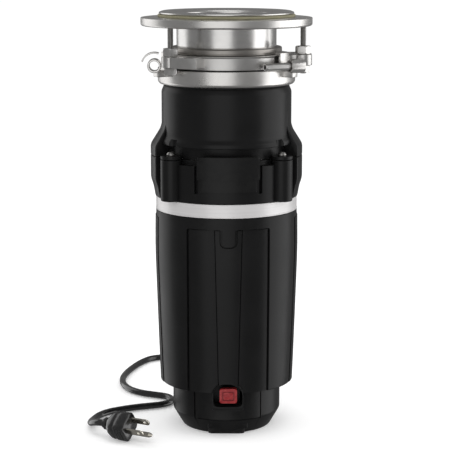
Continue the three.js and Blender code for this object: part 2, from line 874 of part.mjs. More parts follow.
function impellers() {
  const bottom = turntableTop + gap;
  const length = impellerArm + impellerTail;
  const middle = (impellerArm - impellerTail) / 2;
  const hammerTop = bottom + impellerThickness + hammerHeight;
  [1, -1].forEach((side, index) => {
    const arm = block(length, impellerWidth, impellerThickness, middle, 0, bottom + impellerThickness / 2);
    const hammer = block(hammerLength, impellerWidth, hammerTop - bottom, 0, 0, (hammerTop + bottom) / 2)
      .translate(impellerArm - hammerLength / 2, 0, 0);
    const hole = standing(pivotRadius + gap, bottom - 1, hammerTop + 1, 0, 0);
    const solid = cut(join(toSolid(arm), toSolid(hammer)), toSolid(hole));
    const turnedRound = toGeometry(solid).rotateZ(side > 0 ? 0 : Math.PI);
    place(rotor, `impeller_${index + 1}`, turnedRound.translate(side * pivotCircle, 0, 0), brushedSteel());
  });
}

// Motor's standing pieces

function motorPieces() {
  const canTop = bandBottom + canSeatDepth - gap;
  place(housing, "motor_can", plainRing(canInner, canRadius, capTop + gap, canTop), darkSteel());

  const magnetBottom = coreBottom + coreHeight / 2 - magnetHeight / 2;
  const magnetRing = toSolid(
    plainRing(magnetInner, canInner - gap, magnetBottom, magnetBottom + magnetHeight),
  );
  [90, 270].forEach((angle, index) => {
    placeSolid(housing, `magnet_${index + 1}`, sector(magnetRing, angle, magnetHalfAngle), darkSteel());
  });

  const brushStart = commutatorRadius + gap;
  const brushLength = canInner - 1 - brushStart;
  const brushZ = commutatorBottom + commutatorHeight / 2;
  [1, -1].forEach((side, index) => {
    const brush = block(
      brushLength, brushWidth, brushHeight, side * (brushStart + brushLength / 2), 0, brushZ,
    );
    place(housing, `brush_${index + 1}`, brush, copper());
  });
}

// Trim band, skirt, cap, feet and button

function silverBand() {
  place(
    housing, "silver_band", plainRing(bandRadius - bandWall, bandRadius, bandBottom, bandTop), brushedSteel(),
  );
}

function motorSkirt() {
  const belly = skirtBottom + skirtHeight * skirtBellyShare;
  const shell = toSolid(
    ring([
      [skirtInner(skirtBottomRadius), skirtBottom],
      [skirtBottomRadius, skirtBottom],
      [skirtBellyRadius, belly],
      [skirtTopRadius, skirtTop],
      [skirtInner(skirtTopRadius) - 3, skirtTop],
      [skirtInner(skirtTopRadius) - 3, skirtTop - 3],
      [skirtInner(skirtTopRadius), skirtTop - 6],
      [skirtInner(skirtBellyRadius), belly],
    ]),
  );
  const arch = alongY(disc(archRadius, -skirtBottomRadius - 20, -capRadius, shaftSides))
    .translate(0, 0, skirtBottom + archRise - archRadius);
  placeSolid(housing, "motor_skirt", cut(shell, toSolid(arch)), blackPlastic());
}

function lowerCap() {
  const inner = capRadius - capWall;
  const floor = capUnderside + capFloor;
  const slopeTop = capUnderside + capChamfer;
  const hub = bearingPocket + hubWall;
  const hubTop = bearingSeat + bearingWidth + 2;
  let body = toSolid(
    turned([
      [0, 0],
      [baseBossRadius, 0],
      [baseBossRadius, capUnderside],
      [capBaseRadius, capUnderside],
      [capRadius, slopeTop],
      [capRadius, capTop],
      [inner, capTop],
      [inner, slopeTop + 1],
      [capBaseRadius - capWall, floor],
      [hub, floor],
      [hub, hubTop],
      [bearingPocket, hubTop],
      [bearingPocket, bearingSeat],
      [0, bearingSeat],
    ]),
  );
  const panelRing = toSolid(plainRing(inner + 1, capRadius + panelStep, slopeTop, skirtBottom + 8));
  const footBoss = block(footOuterRadius - footInnerRadius, footWidth, footBossHeight, 0, 0, 0)
    .translate((footOuterRadius + footInnerRadius) / 2, 0, capUnderside + footBossHeight / 2);
  const boss = toSolid(footBoss);
  body = join(body, sector(panelRing, -90, panelHalfAngle));
  for (const angle of footAngles) body = join(body, boss.rotate([0, 0, angle]));

  const frameY = -(capRadius + frameDepth / 2);
  const frame = block(
    buttonWidth + 2 * (gap + frameWall),
    frameDepth + 4,
    buttonHeight + 2 * (gap + frameWall),
    0,
    frameY,
    buttonZ,
  );
  const recessDepth = 10;
  const recess = block(buttonWidth + 2 * gap, recessDepth, buttonHeight + 2 * gap, 0, 0, buttonZ)
    .translate(0, -(buttonFace - buttonDepth - buttonTravel - 1) - recessDepth / 2, 0);
  const stemHole = block(stemSize + 2 * gap, 2 * capWall + 14, stemSize + 2 * gap, 0, -capRadius, buttonZ);
  body = cut(join(body, toSolid(frame)), toSolid(recess), toSolid(stemHole));

  const cordBoss = block(cordBossWidth, 20, cordBossWidth, reliefX, reliefFace - 10, reliefZ);
  const hollow = toSolid(disc(inner, floor, capTop + 1));
  const reliefHole = alongY(disc(reliefNeck + gap, 0, reliefFace + 5, boltSides)).translate(
    reliefX, 0, reliefZ,
  );
  const wallHole = cut(toSolid(reliefHole), toSolid(disc(hub + 4, 0, capTop)));
  body = cut(join(body, cut(toSolid(cordBoss), hollow)), wallHole);
  placeSolid(housing, "lower_cap", body, blackPlastic());
}

function feet() {
  footAngles.forEach((angle, index) => {
    const depth = footOuterRadius - footInnerRadius;
    const height = capUnderside - gap;
    const pad = block(depth, footWidth, height, footInnerRadius + depth / 2, 0, height / 2).rotateZ(radians(angle));
    place(housing, `foot_${index + 1}`, pad, blackRubber());
  });
}

function resetButton() {
  const head = block(buttonWidth, buttonDepth, buttonHeight, 0, -buttonFace + buttonDepth / 2, buttonZ);
  const stemEnd = capRadius - capWall - 3.5;
  const stemLength = buttonFace - 1 - stemEnd;
  const stem = block(stemSize, stemLength, stemSize, 0, -stemEnd - stemLength / 2, buttonZ);
  placeSolid(part, "reset_button", join(toSolid(head), toSolid(stem)), redPlastic());

  const frontY = -(stemEnd - buttonTravel - 0.5);
  const protector = block(
    protectorWidth, protectorDepth, protectorHeight, 0, frontY + protectorDepth / 2, buttonZ,
  );
  place(housing, "overload_protector", protector, blackPlastic());
}

// Cord, its relief and its plug

function strainRelief() {
  const wallInside = 4;
  const tail = cordRadius + 1.2;
  const relief = turned(
    [
      [0, -wallInside],
      [reliefNeck, -wallInside],
      [reliefNeck, gap],
      [reliefFlange, gap],
      [reliefFlange, gap + 2],
      [reliefNeck + 0.6, gap + 2],
      [tail, reliefLength],
      [0, reliefLength],
    ],
    boltSides,
  );
  place(housing, "strain_relief", alongY(relief).translate(reliefX, reliefFace, reliefZ), blackRubber());
}

function cordTube(name, points) {
  const curve = new THREE.CatmullRomCurve3(
    points.map((point) => new THREE.Vector3(...point)), false, "centripetal",
  );
  const section = new THREE.Shape();
  section.absarc(0, 0, cordRadius, 0, 2 * Math.PI);
  const outline = new THREE.Shape(section.getPoints(cordSides).slice(0, cordSides));
  const steps = Math.round(curve.getLength() / (4.6 * cordRadius));
  const tube = new THREE.ExtrudeGeometry(outline, { extrudePath: curve, steps, bevelEnabled: false });
  place(housing, name, tube, blackRubber());
}

function cordCoil() {
  const reach = cordRadius + gap;
  const coil = plainRing(coilRadius - reach, coilRadius + reach, gap, coilHeight).translate(...coilCentre, 0);
  place(housing, "cord_coil", coil, blackRubber());
}

function plug() {
  const group = new THREE.Group();
  group.position.set(...plugPoint);
  group.rotation.z = radians(plugHeading - 90);
  housing.add(group);
  const face = plugLength;
  const body = turned(
    [
      [0, 0],
      [cordRadius + 1.4, 0],
      [cordRadius + 2.6, 2],
      [plugRadius - 2, plugTail],
      [plugRadius, plugTail + 5],
      [plugRadius, face - 2],
      [plugRadius - 1, face],
      [0, face],
    ],
    boltSides,
  );
  place(group, "plug_body", alongY(body), blackRubber());
  const roll = new THREE.Group();
  roll.rotation.y = radians(plugRoll);
  group.add(roll);
  [-1, 1].forEach((side, index) => {
    const blade = block(bladeThickness, bladeLength, bladeWidth, (side * bladeSpacing) / 2, 0, 2.4)
      .translate(0, face + gap + bladeLength / 2, 0);
    place(roll, `plug_blade_${index + 1}`, blade, nickel());
  });
  const pin = alongY(disc(groundRadius, 0, groundLength, boltSides)).translate(0, face + gap, -groundOffset);
  place(roll, "ground_pin", pin, nickel());
}

sinkFlange();
supportStack();
upperMountingRing();
studsAndNuts();
collarAndSnapRing();
lockRing();
earPin();
rubberSeals();
canister();
jointHousing();
dischargeOutlet();
jointScrews();
chamberLiner();
grindRing();
chamberBase();
bearingsAndSeal();
rotorPieces();
impellers();
motorPieces();
silverBand();
motorSkirt();
lowerCap();
feet();
resetButton();
strainRelief();
cordTube("cord_lead", leadPoints);
cordTube("cord_run", runPoints);
cordCoil();
plug();

export default part;
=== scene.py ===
import math

import bmesh
import bpy
from mathutils import Matrix, Vector


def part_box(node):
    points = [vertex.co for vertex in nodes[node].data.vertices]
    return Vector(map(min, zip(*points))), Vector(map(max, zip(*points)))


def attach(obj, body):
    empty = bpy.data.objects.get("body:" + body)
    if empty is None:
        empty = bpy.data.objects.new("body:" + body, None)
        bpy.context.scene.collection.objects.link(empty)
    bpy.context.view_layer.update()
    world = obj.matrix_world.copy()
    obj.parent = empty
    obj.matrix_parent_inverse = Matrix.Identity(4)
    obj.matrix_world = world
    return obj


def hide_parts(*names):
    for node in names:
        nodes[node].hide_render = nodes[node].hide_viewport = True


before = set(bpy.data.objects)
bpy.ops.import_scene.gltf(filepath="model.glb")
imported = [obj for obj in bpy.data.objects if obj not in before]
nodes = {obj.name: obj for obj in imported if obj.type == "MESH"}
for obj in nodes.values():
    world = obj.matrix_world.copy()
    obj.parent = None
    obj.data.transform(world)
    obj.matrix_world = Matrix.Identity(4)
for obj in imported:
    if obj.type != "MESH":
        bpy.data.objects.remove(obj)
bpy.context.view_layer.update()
mm = 0.001
print("frame loaded:", len(nodes), "nodes")


# sizes from the frame, in millimetres
def levels(node):
    low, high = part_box(node)
    return low.z / mm, high.z / mm


def halfWidth(node):
    low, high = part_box(node)
    return max(-low.x, high.x) / mm


def middle(node):
    low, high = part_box(node)
    return (low + high) / 2 / mm


def around(radius, degrees, z=0.0):
    return Vector((radius * math.cos(math.radians(degrees)), radius * math.sin(math.radians(degrees)), z))


def turnZ(degrees):
    return Matrix.Rotation(math.radians(degrees), 4, "Z")


def turnY(degrees):
    return Matrix.Rotation(math.radians(degrees), 4, "Y")


def shift(x, y, z):
    return Matrix.Translation((x, y, z))



# meshes
def fillet(corners, closed=True, steps=4):
    # each corner is (a, b) or (a, b, rounding)
    points = []
    count = len(corners)
    for i, corner in enumerate(corners):
        here = Vector(corner[:2])
        rounding = corner[2] if len(corner) > 2 else 0
        if not rounding or (not closed and i in (0, count - 1)):
            points.append(here)
            continue
        before = Vector(corners[i - 1][:2]) - here
        after = Vector(corners[(i + 1) % count][:2]) - here
        reach = min(rounding, 0.48 * before.length, 0.48 * after.length)
        start = here + before.normalized() * reach
        end = here + after.normalized() * reach
        for k in range(steps + 1):
            t = k / steps
            points.append((1 - t) ** 2 * start + 2 * t * (1 - t) * here + t * t * end)
    return points


def plateOutline(left, right, low, high, lowRound=0, highRound=0):
    # a rectangle whose lower and upper corners have their own rounding
    return fillet([(left, low, lowRound), (right, low, lowRound), (right, high, highRound),
                   (left, high, highRound)])


def ringSection(inner, outer, low, high, innerRound=0, outerRound=0):
    # what a lathe turns into a ring or a tube
    return fillet([(inner, low, innerRound), (outer, low, outerRound), (outer, high, outerRound),
                   (inner, high, innerRound)])


def shadeSmooth(mesh, sharpAngle=34):
    mesh.polygons.foreach_set("use_smooth", [True] * len(mesh.polygons))
    mesh.set_sharp_from_angle(angle=math.radians(sharpAngle))


def roundEdges(bm, edges, width, segments=3):
    bmesh.ops.bevel(bm, geom=edges, offset=width, segments=segments, profile=0.5, affect="EDGES",
                    clamp_overlap=True)


def finishMesh(name, bm, sharpAngle=34):
    bmesh.ops.remove_doubles(bm, verts=bm.verts, dist=1e-7)
    bmesh.ops.recalc_face_normals(bm, faces=bm.faces)
    mesh = bpy.data.meshes.new(name)
    bm.to_mesh(mesh)
    bm.free()
    shadeSmooth(mesh, sharpAngle)
    piece = bpy.data.objects.new(name, mesh)
    bpy.context.scene.collection.objects.link(piece)
    return piece


def skin(name, rows, sharpAngle=34):
    # closed loops of points joined by quads, with both ends capped
    count = len(rows[0])
    bm = bmesh.new()
    verts = [bm.verts.new(Vector(p) * mm) for row in rows for p in row]
    for j in range(0, count * (len(rows) - 1), count):
        for i in range(count):
            n = (i + 1) % count
            bm.faces.new((verts[j + i], verts[j + n], verts[j + count + n], verts[j + count + i]))
    bm.faces.new(verts[:count])
    bm.faces.new(verts[-count:])
    return finishMesh(name, bm, sharpAngle)


def lathe(name, outline, sides=144, start=0.0, sweep=360.0):
    # outline: closed loop of (radius, z); a part turn gets flat ends
    whole = sweep >= 360
    steps = sides if whole else max(2, round(sides * sweep / 360))
    count = len(outline)
    bm = bmesh.new()
    loops = []
    for i in range(steps if whole else steps + 1):
        angle = math.radians(start + sweep * i / steps)
        across, aside = math.cos(angle), math.sin(angle)
        loops.append([bm.verts.new(Vector((r * across, r * aside, z)) * mm) for r, z in outline])
    for i in range(steps):
        a, b = loops[i], loops[(i + 1) % len(loops)]
        for j in range(count):
            k = (j + 1) % count
            onAxis = outline[j][0] < 1e-6 and outline[k][0] < 1e-6
            if not onAxis:
                bm.faces.new((a[j], b[j], b[k], a[k]))
    if not whole:
        bm.faces.new(loops[0])
        bm.faces.new(loops[-1])
    bmesh.ops.remove_doubles(bm, verts=bm.verts, dist=1e-7)
    bmesh.ops.dissolve_degenerate(bm, edges=bm.edges, dist=1e-7)
    return finishMesh(name, bm)


def slab(bm, front, back):
    # two copies of an outline and the walls between them
    front = [bm.verts.new(p) for p in front]
    back = [bm.verts.new(p) for p in back]
    bm.faces.new(front)
    bm.faces.new(back)
    for i in range(len(front)):
        k = (i + 1) % len(front)
        bm.faces.new((front[i], front[k], back[k], back[i]))
    return front


def prism(name, outline, bottom, top, bevel=0.0, segments=3):
    # a plate cut to an outline of (x, y), with softened edges
    bm = bmesh.new()
    low = slab(bm, *([Vector((x, y, z)) * mm for x, y in outline] for z in (bottom, top)))
    if bevel:
        rims = [e for e in bm.edges if (e.verts[0] in low) == (e.verts[1] in low)]
        roundEdges(bm, rims, bevel * mm, segments)
    return finishMesh(name, bm)


def block(name, width, depth, height, bevel=0.5):
    bm = bmesh.new()
    bmesh.ops.create_cube(bm, size=1.0)
    bmesh.ops.scale(bm, vec=Vector((width, depth, height)) * mm, verts=bm.verts)
    if bevel:
        roundEdges(bm, bm.edges[:], bevel * mm)
    return finishMesh(name, bm)


def moved(piece, *steps):
    # steps are matrices in millimetres, the first one first
    for step in steps:
        step = step.copy()
        step.translation *= mm
        piece.data.transform(step)
    return piece


def standAt(piece, radius, degrees):
    place = around(radius, degrees)
    return moved(piece, shift(place.x, place.y, 0))


def soften(piece, width, fromAngle=40, segments=2):
    bm = bmesh.new()
    bm.from_mesh(piece.data)
    edges = [e for e in bm.edges if e.is_manifold and e.calc_face_angle(0) > math.radians(fromAngle)]
    roundEdges(bm, edges, width * mm, segments)
    bm.to_mesh(piece.data)
    bm.free()
    shadeSmooth(piece.data)
    return piece


def baked(piece):
    # the piece's modifiers become its mesh
    bpy.context.view_layer.update()
    evaluated = piece.evaluated_get(bpy.context.evaluated_depsgraph_get())
    mesh = bpy.data.meshes.new_from_object(evaluated)
    mesh.name = piece.name
    piece.modifiers.clear()
    piece.data = mesh
    mesh.validate()
    shadeSmooth(mesh)
    return piece


def solidOp(piece, tools, operation):
    for tool in tools:
        step = piece.modifiers.new("solid", "BOOLEAN")
        step.operation = operation
        step.solver = "EXACT"
        step.object = tool
        baked(piece)
        bpy.data.objects.remove(tool)
    return piece


def unite(piece, *tools):
    return solidOp(piece, tools, "UNION")


def carve(piece, *tools):
    return solidOp(piece, tools, "DIFFERENCE")


def combine(piece, *others):
    # several closed shells in one object
    bm = bmesh.new()
    for one in (piece, *others):
        bm.from_mesh(one.data)
    bm.to_mesh(piece.data)
    bm.free()
    for one in others:
        bpy.data.objects.remove(one)
    shadeSmooth(piece.data)
    return piece


def onShow(piece, material, body, slot, *replaced):
    piece.data.materials.clear()
    piece.data.materials.append(material)
    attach(piece, body)
    if replaced:
        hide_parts(*replaced)
    return piece


# camera
cameraSettings = {"place": (-0.00135, -1.450, 0.442), "pitch": 10.0225, "lens": 128.35, "sensor": 36.0}
cameraData = bpy.data.cameras.new("camera")
cameraData.lens = cameraSettings["lens"]
cameraData.sensor_width = cameraSettings["sensor"]
camera = bpy.data.objects.new("camera", cameraData)
camera.location = cameraSettings["place"]
camera.rotation_euler = (math.radians(90 - cameraSettings["pitch"]), 0, 0)
bpy.context.scene.collection.objects.link(camera)
bpy.context.scene.camera = camera

# power cord
cordSettings = {
    "radius": 3.1,
    "lead": [(24, 75.0, 26), (24.1, 81, 25.8), (24.4, 90, 25.1), (25.2, 103, 22.2), (26.4, 118, 18.8),
             (27, 132, 17.5)],
    "coilCentre": (-4, 152),
    "coilRadius": 31,
    "coilTop": 17.3,
    "coilBottom": 3.3,
    "coilTurn": 780,  # degrees from where the lead joins to where the run leaves
    "run": [(-8, 190, 3.3), (-30, 202.5, 3.3), (-52, 214, 3.3), (-68, 218.5, 3.3), (-80, 213, 3.3),
            (-89, 199, 3.3), (-97, 178, 3.3), (-103.6, 151, 3.3), (-105.4, 131, 3.3), (-102.5, 110, 3.3),
            (-94.5, 92, 3.3), (-83, 80.5, 3.3), (-70, 74, 3.3), (-59.5, 68.5, 3.3), (-53.5, 60, 3.3),
            (-53.7, 50, 3.3), (-60.5, 41.5, 3.3), (-71.5, 36.5, 3.3), (-84, 32, 3.3), (-99, 24.5, 3.3),
            (-111.5, 15.5, 3.3), (-119.5, 4.5, 3.3), (-123.8, -9, 3.4), (-125.2, -21, 4.6),
            (-124.2, -31, 7), (-120.8, -41, 10.4), (-116, -48.2, 12.5), (-111.5, -50.8, 12.8)],
}
plugSettings = {"point": (-111, -51, 12.8), "heading": -28, "roll": 35}


def smoothPath(points, perSpan=6):
    # centripetal Catmull-Rom through the points
    ends = [2 * points[0] - points[1], *points, 2 * points[-1] - points[-2]]
    route = []
    for a, b, c, d in zip(ends, ends[1:], ends[2:], ends[3:]):
        ta = (b - a).length ** 0.5
        tb = ta + (c - b).length ** 0.5
        tc = tb + (d - c).length ** 0.5
        for k in range(perSpan):
            t = ta + (tb - ta) * k / perSpan
            ab = a + (b - a) * (t / ta)
            bc = b + (c - b) * ((t - ta) / (tb - ta))
            cd = c + (d - c) * ((t - tb) / (tc - tb))
            first = ab + (bc - ab) * (t / tb)
            second = bc + (cd - bc) * ((t - ta) / (tc - ta))
            route.append(first + (second - first) * ((t - ta) / (tb - ta)))
    return route + [points[-1]]


def cordPoints(s):
    points = [Vector(p) for p in s["lead"]]
    turns = s["coilTurn"] / 360
    steps = round(turns * 24)
    centre = Vector((*s["coilCentre"], 0))
    for i in range(steps + 1):
        share = i / steps
        drop = share * share * (3 - 2 * share)  # settles on the floor at its end
        height = s["coilTop"] + (s["coilBottom"] - s["coilTop"]) * (0.35 * drop + 0.65 * share)
        points.append(centre + around(s["coilRadius"], s["coilTurn"] * share, height))
    return points + [Vector(p) for p in s["run"]]


path = smoothPath(cordPoints(cordSettings))
curve = bpy.data.curves.new("power_cord", "CURVE")
curve.dimensions = "3D"
curve.bevel_depth = cordSettings["radius"] * mm
curve.bevel_resolution = 6
curve.use_fill_caps = True
spline = curve.splines.new("POLY")
spline.points.add(len(path) - 1)
for point, place in zip(spline.points, path):
    point.co = (*(place * mm), 1.0)
cord = bpy.data.objects.new("power_cord", curve)
bpy.context.scene.collection.objects.link(cord)


# shader groups: surface effects that several finishes share
def newGroup(name, inputs, outputs):
    group = bpy.data.node_groups.new(name, "ShaderNodeTree")
    for label, value in inputs.items():
        socket = group.interface.new_socket(label, in_out="INPUT", socket_type="NodeSocketFloat")
        socket.default_value = value
    for label in outputs:
        group.interface.new_socket(label, in_out="OUTPUT", socket_type="NodeSocketFloat")
    return group, group.nodes.new("NodeGroupInput"), group.nodes.new("NodeGroupOutput")


def link(tree, source, target):
    tree.links.new(source, target)


def mathNode(tree, operation, first, second=None, third=None):
    node = tree.nodes.new("ShaderNodeMath")
    node.operation = operation
    for socket, value in zip(node.inputs, (first, second, third)):
        if value is None:
            continue
        if isinstance(value, (int, float)):
            socket.default_value = value
        else:
            link(tree, value, socket)
    return node.outputs[0]


def noiseNode(tree, vector, scale, detail=2.0, roughness=0.5):
    node = tree.nodes.new("ShaderNodeTexNoise")
    node.inputs["Detail"].default_value = detail
    node.inputs["Roughness"].default_value = roughness
    link(tree, vector, node.inputs["Vector"])
    if isinstance(scale, (int, float)):
        node.inputs["Scale"].default_value = scale
    else:
        link(tree, scale, node.inputs["Scale"])
    return node.outputs[0]


def rangeNode(tree, value, low, high, newLow=0.0, newHigh=1.0):
    node = tree.nodes.new("ShaderNodeMapRange")
    link(tree, value, node.inputs["Value"])
    for label, number in zip(("From Min", "From Max", "To Min", "To Max"), (low, high, newLow, newHigh)):
        node.inputs[label].default_value = number
    return node.outputs["Result"]


def objectPlace(tree):
    return tree.nodes.new("ShaderNodeTexCoord").outputs["Object"]


def turnedLinesGroup():
    # fine lines that run round the vertical axis, as a lathe or a rolling mill leaves them
    tree, given, made = newGroup("turnedLines", {"Lines": 1400.0, "Around": 2.5}, ("Fine", "Broad"))
    apart = tree.nodes.new("ShaderNodeSeparateXYZ")
    link(tree, objectPlace(tree), apart.inputs[0])
    x, y, z = apart.outputs
    angle = mathNode(tree, "MULTIPLY", mathNode(tree, "ARCTAN2", y, x), given.outputs["Around"])
    squares = mathNode(tree, "ADD", mathNode(tree, "MULTIPLY", x, x), mathNode(tree, "MULTIPLY", y, y))
    out = mathNode(tree, "POWER", squares, 0.5)
    for label, share in (("Fine", 1.0), ("Broad", 0.16)):
        lines = mathNode(tree, "MULTIPLY", given.outputs["Lines"], share)
        spread = tree.nodes.new("ShaderNodeCombineXYZ")
        link(tree, angle, spread.inputs[0])
        link(tree, mathNode(tree, "MULTIPLY", z, lines), spread.inputs[1])
        link(tree, mathNode(tree, "MULTIPLY", out, lines), spread.inputs[2])
        link(tree, noiseNode(tree, spread.outputs[0], 1.0, 3.0, 0.65), made.inputs[label])
    return tree


def mouldGrainGroup():
    # the fine pitted texture of a spark-eroded mould, and slow variation in its sheen
    tree, given, made = newGroup("mouldGrain", {"Scale": 2600.0}, ("Grain", "Mottle"))
    place = objectPlace(tree)
    pits = tree.nodes.new("ShaderNodeTexVoronoi")
    link(tree, place, pits.inputs["Vector"])
    link(tree, given.outputs["Scale"], pits.inputs["Scale"])
    rough = noiseNode(tree, place, given.outputs["Scale"], 3.0, 0.6)
    link(tree, mathNode(tree, "MULTIPLY_ADD", pits.outputs["Distance"], 0.5, rough), made.inputs["Grain"])
    link(tree, noiseNode(tree, place, 38.0, 3.0, 0.55), made.inputs["Mottle"])
    return tree


def edgeWearAndHighlightGroup():
    # where corners stand out: rubbed wear, and a painted highlight that lightens them as if they caught the
    # light; broken up so that it isn't a clean line
    tree, given, made = newGroup("edgeWearAndHighlight", {"Reach": 0.56, "Break": 220.0}, ("WornAndHighlit",))
    corner = tree.nodes.new("ShaderNodeNewGeometry").outputs["Pointiness"]
    reach = mathNode(tree, "SUBTRACT", given.outputs["Reach"], 0.5)
    raised = mathNode(tree, "DIVIDE", mathNode(tree, "SUBTRACT", corner, 0.5), reach)
    broken = rangeNode(tree, noiseNode(tree, objectPlace(tree), given.outputs["Break"], 4.0, 0.6), 0.38, 0.62)
    wornAndHighlit = mathNode(tree, "MULTIPLY", raised, broken)
    wornAndHighlit.node.use_clamp = True
    link(tree, wornAndHighlit, made.inputs["WornAndHighlit"])
    return tree


def settledDustGroup():
    # a thin film on what faces up
    tree, given, made = newGroup("settledDust", {"Amount": 0.5}, ("Dust",))
    facing = tree.nodes.new("ShaderNodeSeparateXYZ")
    link(tree, tree.nodes.new("ShaderNodeNewGeometry").outputs["Normal"], facing.inputs[0])
    up = rangeNode(tree, facing.outputs[2], 0.45, 0.95)
    patches = rangeNode(tree, noiseNode(tree, objectPlace(tree), 90.0, 5.0, 0.6), 0.35, 0.75)
    film = mathNode(tree, "MULTIPLY", up, patches)
    link(tree, mathNode(tree, "MULTIPLY", film, given.outputs["Amount"]), made.inputs["Dust"])
    return tree


def smudgesGroup():
    # handling marks: soft blotches that change the gloss
    tree, given, made = newGroup("smudges", {"Scale": 60.0}, ("Smudge",))
    warped = noiseNode(tree, objectPlace(tree), given.outputs["Scale"], 5.0, 0.55)
    link(tree, rangeNode(tree, warped, 0.42, 0.7), made.inputs["Smudge"])
    return tree


groups = {
    "turnedLines": turnedLinesGroup(),
    "mouldGrain": mouldGrainGroup(),
    "edgeWearAndHighlight": edgeWearAndHighlightGroup(),
    "settledDust": settledDustGroup(),
    "smudges": smudgesGroup(),
}
print("shader groups built")


# finishes
def startMaterial(name, **sockets):
    made = bpy.data.materials.new(name)
    made.use_nodes = True
    shader = made.node_tree.nodes["Principled BSDF"]
    for label, value in sockets.items():
        shader.inputs[label.replace("_", " ")].default_value = value
    return made, made.node_tree, shader


def effect(tree, name, **values):
    node = tree.nodes.new("ShaderNodeGroup")
    node.node_tree = groups[name]
    for label, value in values.items():
        node.inputs[label].default_value = value
    return node.outputs


def mixColour(tree, amount, first, second):
    # first and second are colours or sockets
    node = tree.nodes.new("ShaderNodeMix")
    node.data_type = "RGBA"
    link(tree, amount, node.inputs[0])
    for socket, value in ((node.inputs[6], first), (node.inputs[7], second)):
        if isinstance(value, tuple):
            socket.default_value = (*value, 1.0)
        else:
            link(tree, value, socket)
    return node.outputs[2]


def bump(tree, shader, height, strength, distance):
    node = tree.nodes.new("ShaderNodeBump")
    node.inputs["Strength"].default_value = strength
    node.inputs["Distance"].default_value = distance * mm
    link(tree, height, node.inputs["Height"])
    link(tree, node.outputs[0], shader.inputs["Normal"])


def turnedMetal(name, light, dark, roughness, spread, lines=1400.0, anisotropic=0.4, strength=0.03):
    made, tree, shader = startMaterial(name, Metallic=1.0, Anisotropic=anisotropic)
    streaks = effect(tree, "turnedLines", Lines=lines)
    smudge = effect(tree, "smudges")["Smudge"]
    wornAndHighlit = effect(tree, "edgeWearAndHighlight")["WornAndHighlit"]
    fine = mathNode(tree, "MULTIPLY", streaks["Fine"], 0.4)
    streak = mathNode(tree, "MULTIPLY_ADD", streaks["Broad"], 0.6, fine)
    body = mixColour(tree, rangeNode(tree, streak, 0.3, 0.7), dark, light)
    # painted highlight: corners turn lighter, as if they caught the light, together with rubbed wear
    bright = tuple(min(1.0, 1.08 * c) for c in light)
    link(tree, mixColour(tree, wornAndHighlit, body, bright), shader.inputs["Base Color"])
    rough = mathNode(tree, "MULTIPLY_ADD", streak, spread, roughness - spread / 2)
    link(tree, mathNode(tree, "MULTIPLY_ADD", smudge, 0.05, rough), shader.inputs["Roughness"])
    bump(tree, shader, streaks["Fine"], strength, 0.05)
    return made


def castMetal(name, light, dark, roughness, scale=1500.0):
    made, tree, shader = startMaterial(name, Metallic=1.0)
    grain = effect(tree, "mouldGrain", Scale=scale)
    wornAndHighlit = effect(tree, "edgeWearAndHighlight", Reach=0.57)["WornAndHighlit"]
    body = mixColour(tree, rangeNode(tree, grain["Mottle"], 0.3, 0.7), dark, light)
    # painted highlight: corners turn lighter, as if they caught the light, together with rubbed wear
    bright = tuple(min(1.0, 1.15 * c) for c in light)
    link(tree, mixColour(tree, wornAndHighlit, body, bright), shader.inputs["Base Color"])
    uneven = mathNode(tree, "MULTIPLY_ADD", grain["Mottle"], 0.16, roughness - 0.08)
    link(tree, uneven, shader.inputs["Roughness"])
    bump(tree, shader, grain["Grain"], 0.25, 0.06)
    return made


def mouldedPlastic(name, colour, wornAndHighlit, roughness, scale=2600.0, dust=0.35, strength=0.3, coat=0.0,
                   gloss=0.22):
    made, tree, shader = startMaterial(name, Coat_Weight=coat, Coat_Roughness=0.12, Specular_IOR_Level=gloss)
    grain = effect(tree, "mouldGrain", Scale=scale)
    rubbedAndHighlit = effect(tree, "edgeWearAndHighlight")["WornAndHighlit"]
    film = effect(tree, "settledDust", Amount=dust)["Dust"]
    lighter = tuple(1.25 * c for c in colour)
    body = mixColour(tree, rangeNode(tree, grain["Mottle"], 0.3, 0.7), colour, lighter)
    # painted highlight: corners take the lighter colour, as if they caught the light, together with rubbed
    # wear
    body = mixColour(tree, rubbedAndHighlit, body, wornAndHighlit)
    body = mixColour(tree, mathNode(tree, "MULTIPLY", film, 0.12), body, (0.32, 0.3, 0.28))
    link(tree, body, shader.inputs["Base Color"])
    uneven = mathNode(tree, "MULTIPLY_ADD", grain["Mottle"], 0.14, roughness - 0.07)
    link(tree, mathNode(tree, "MULTIPLY_ADD", film, 0.2, uneven), shader.inputs["Roughness"])
    bump(tree, shader, grain["Grain"], strength, 0.03)
    return made


def pressedFibre(name, colour, dark):
    # compressed fibre sheet: short matted threads
    made, tree, shader = startMaterial(name)
    place = objectPlace(tree)
    threads = tree.nodes.new("ShaderNodeTexWave")
    threads.inputs["Scale"].default_value = 420.0
    threads.inputs["Distortion"].default_value = 18.0
    threads.inputs["Detail"].default_value = 4.0
    link(tree, place, threads.inputs["Vector"])
    blotch = noiseNode(tree, place, 150.0, 5.0, 0.7)
    soft = mathNode(tree, "MULTIPLY", blotch, 0.55)
    matted = mathNode(tree, "MULTIPLY_ADD", threads.outputs["Fac"], 0.45, soft)
    link(tree, mixColour(tree, matted, dark, colour), shader.inputs["Base Color"])
    link(tree, rangeNode(tree, blotch, 0.2, 0.8, 0.75, 0.95), shader.inputs["Roughness"])
    bump(tree, shader, matted, 0.5, 0.2)
    return made


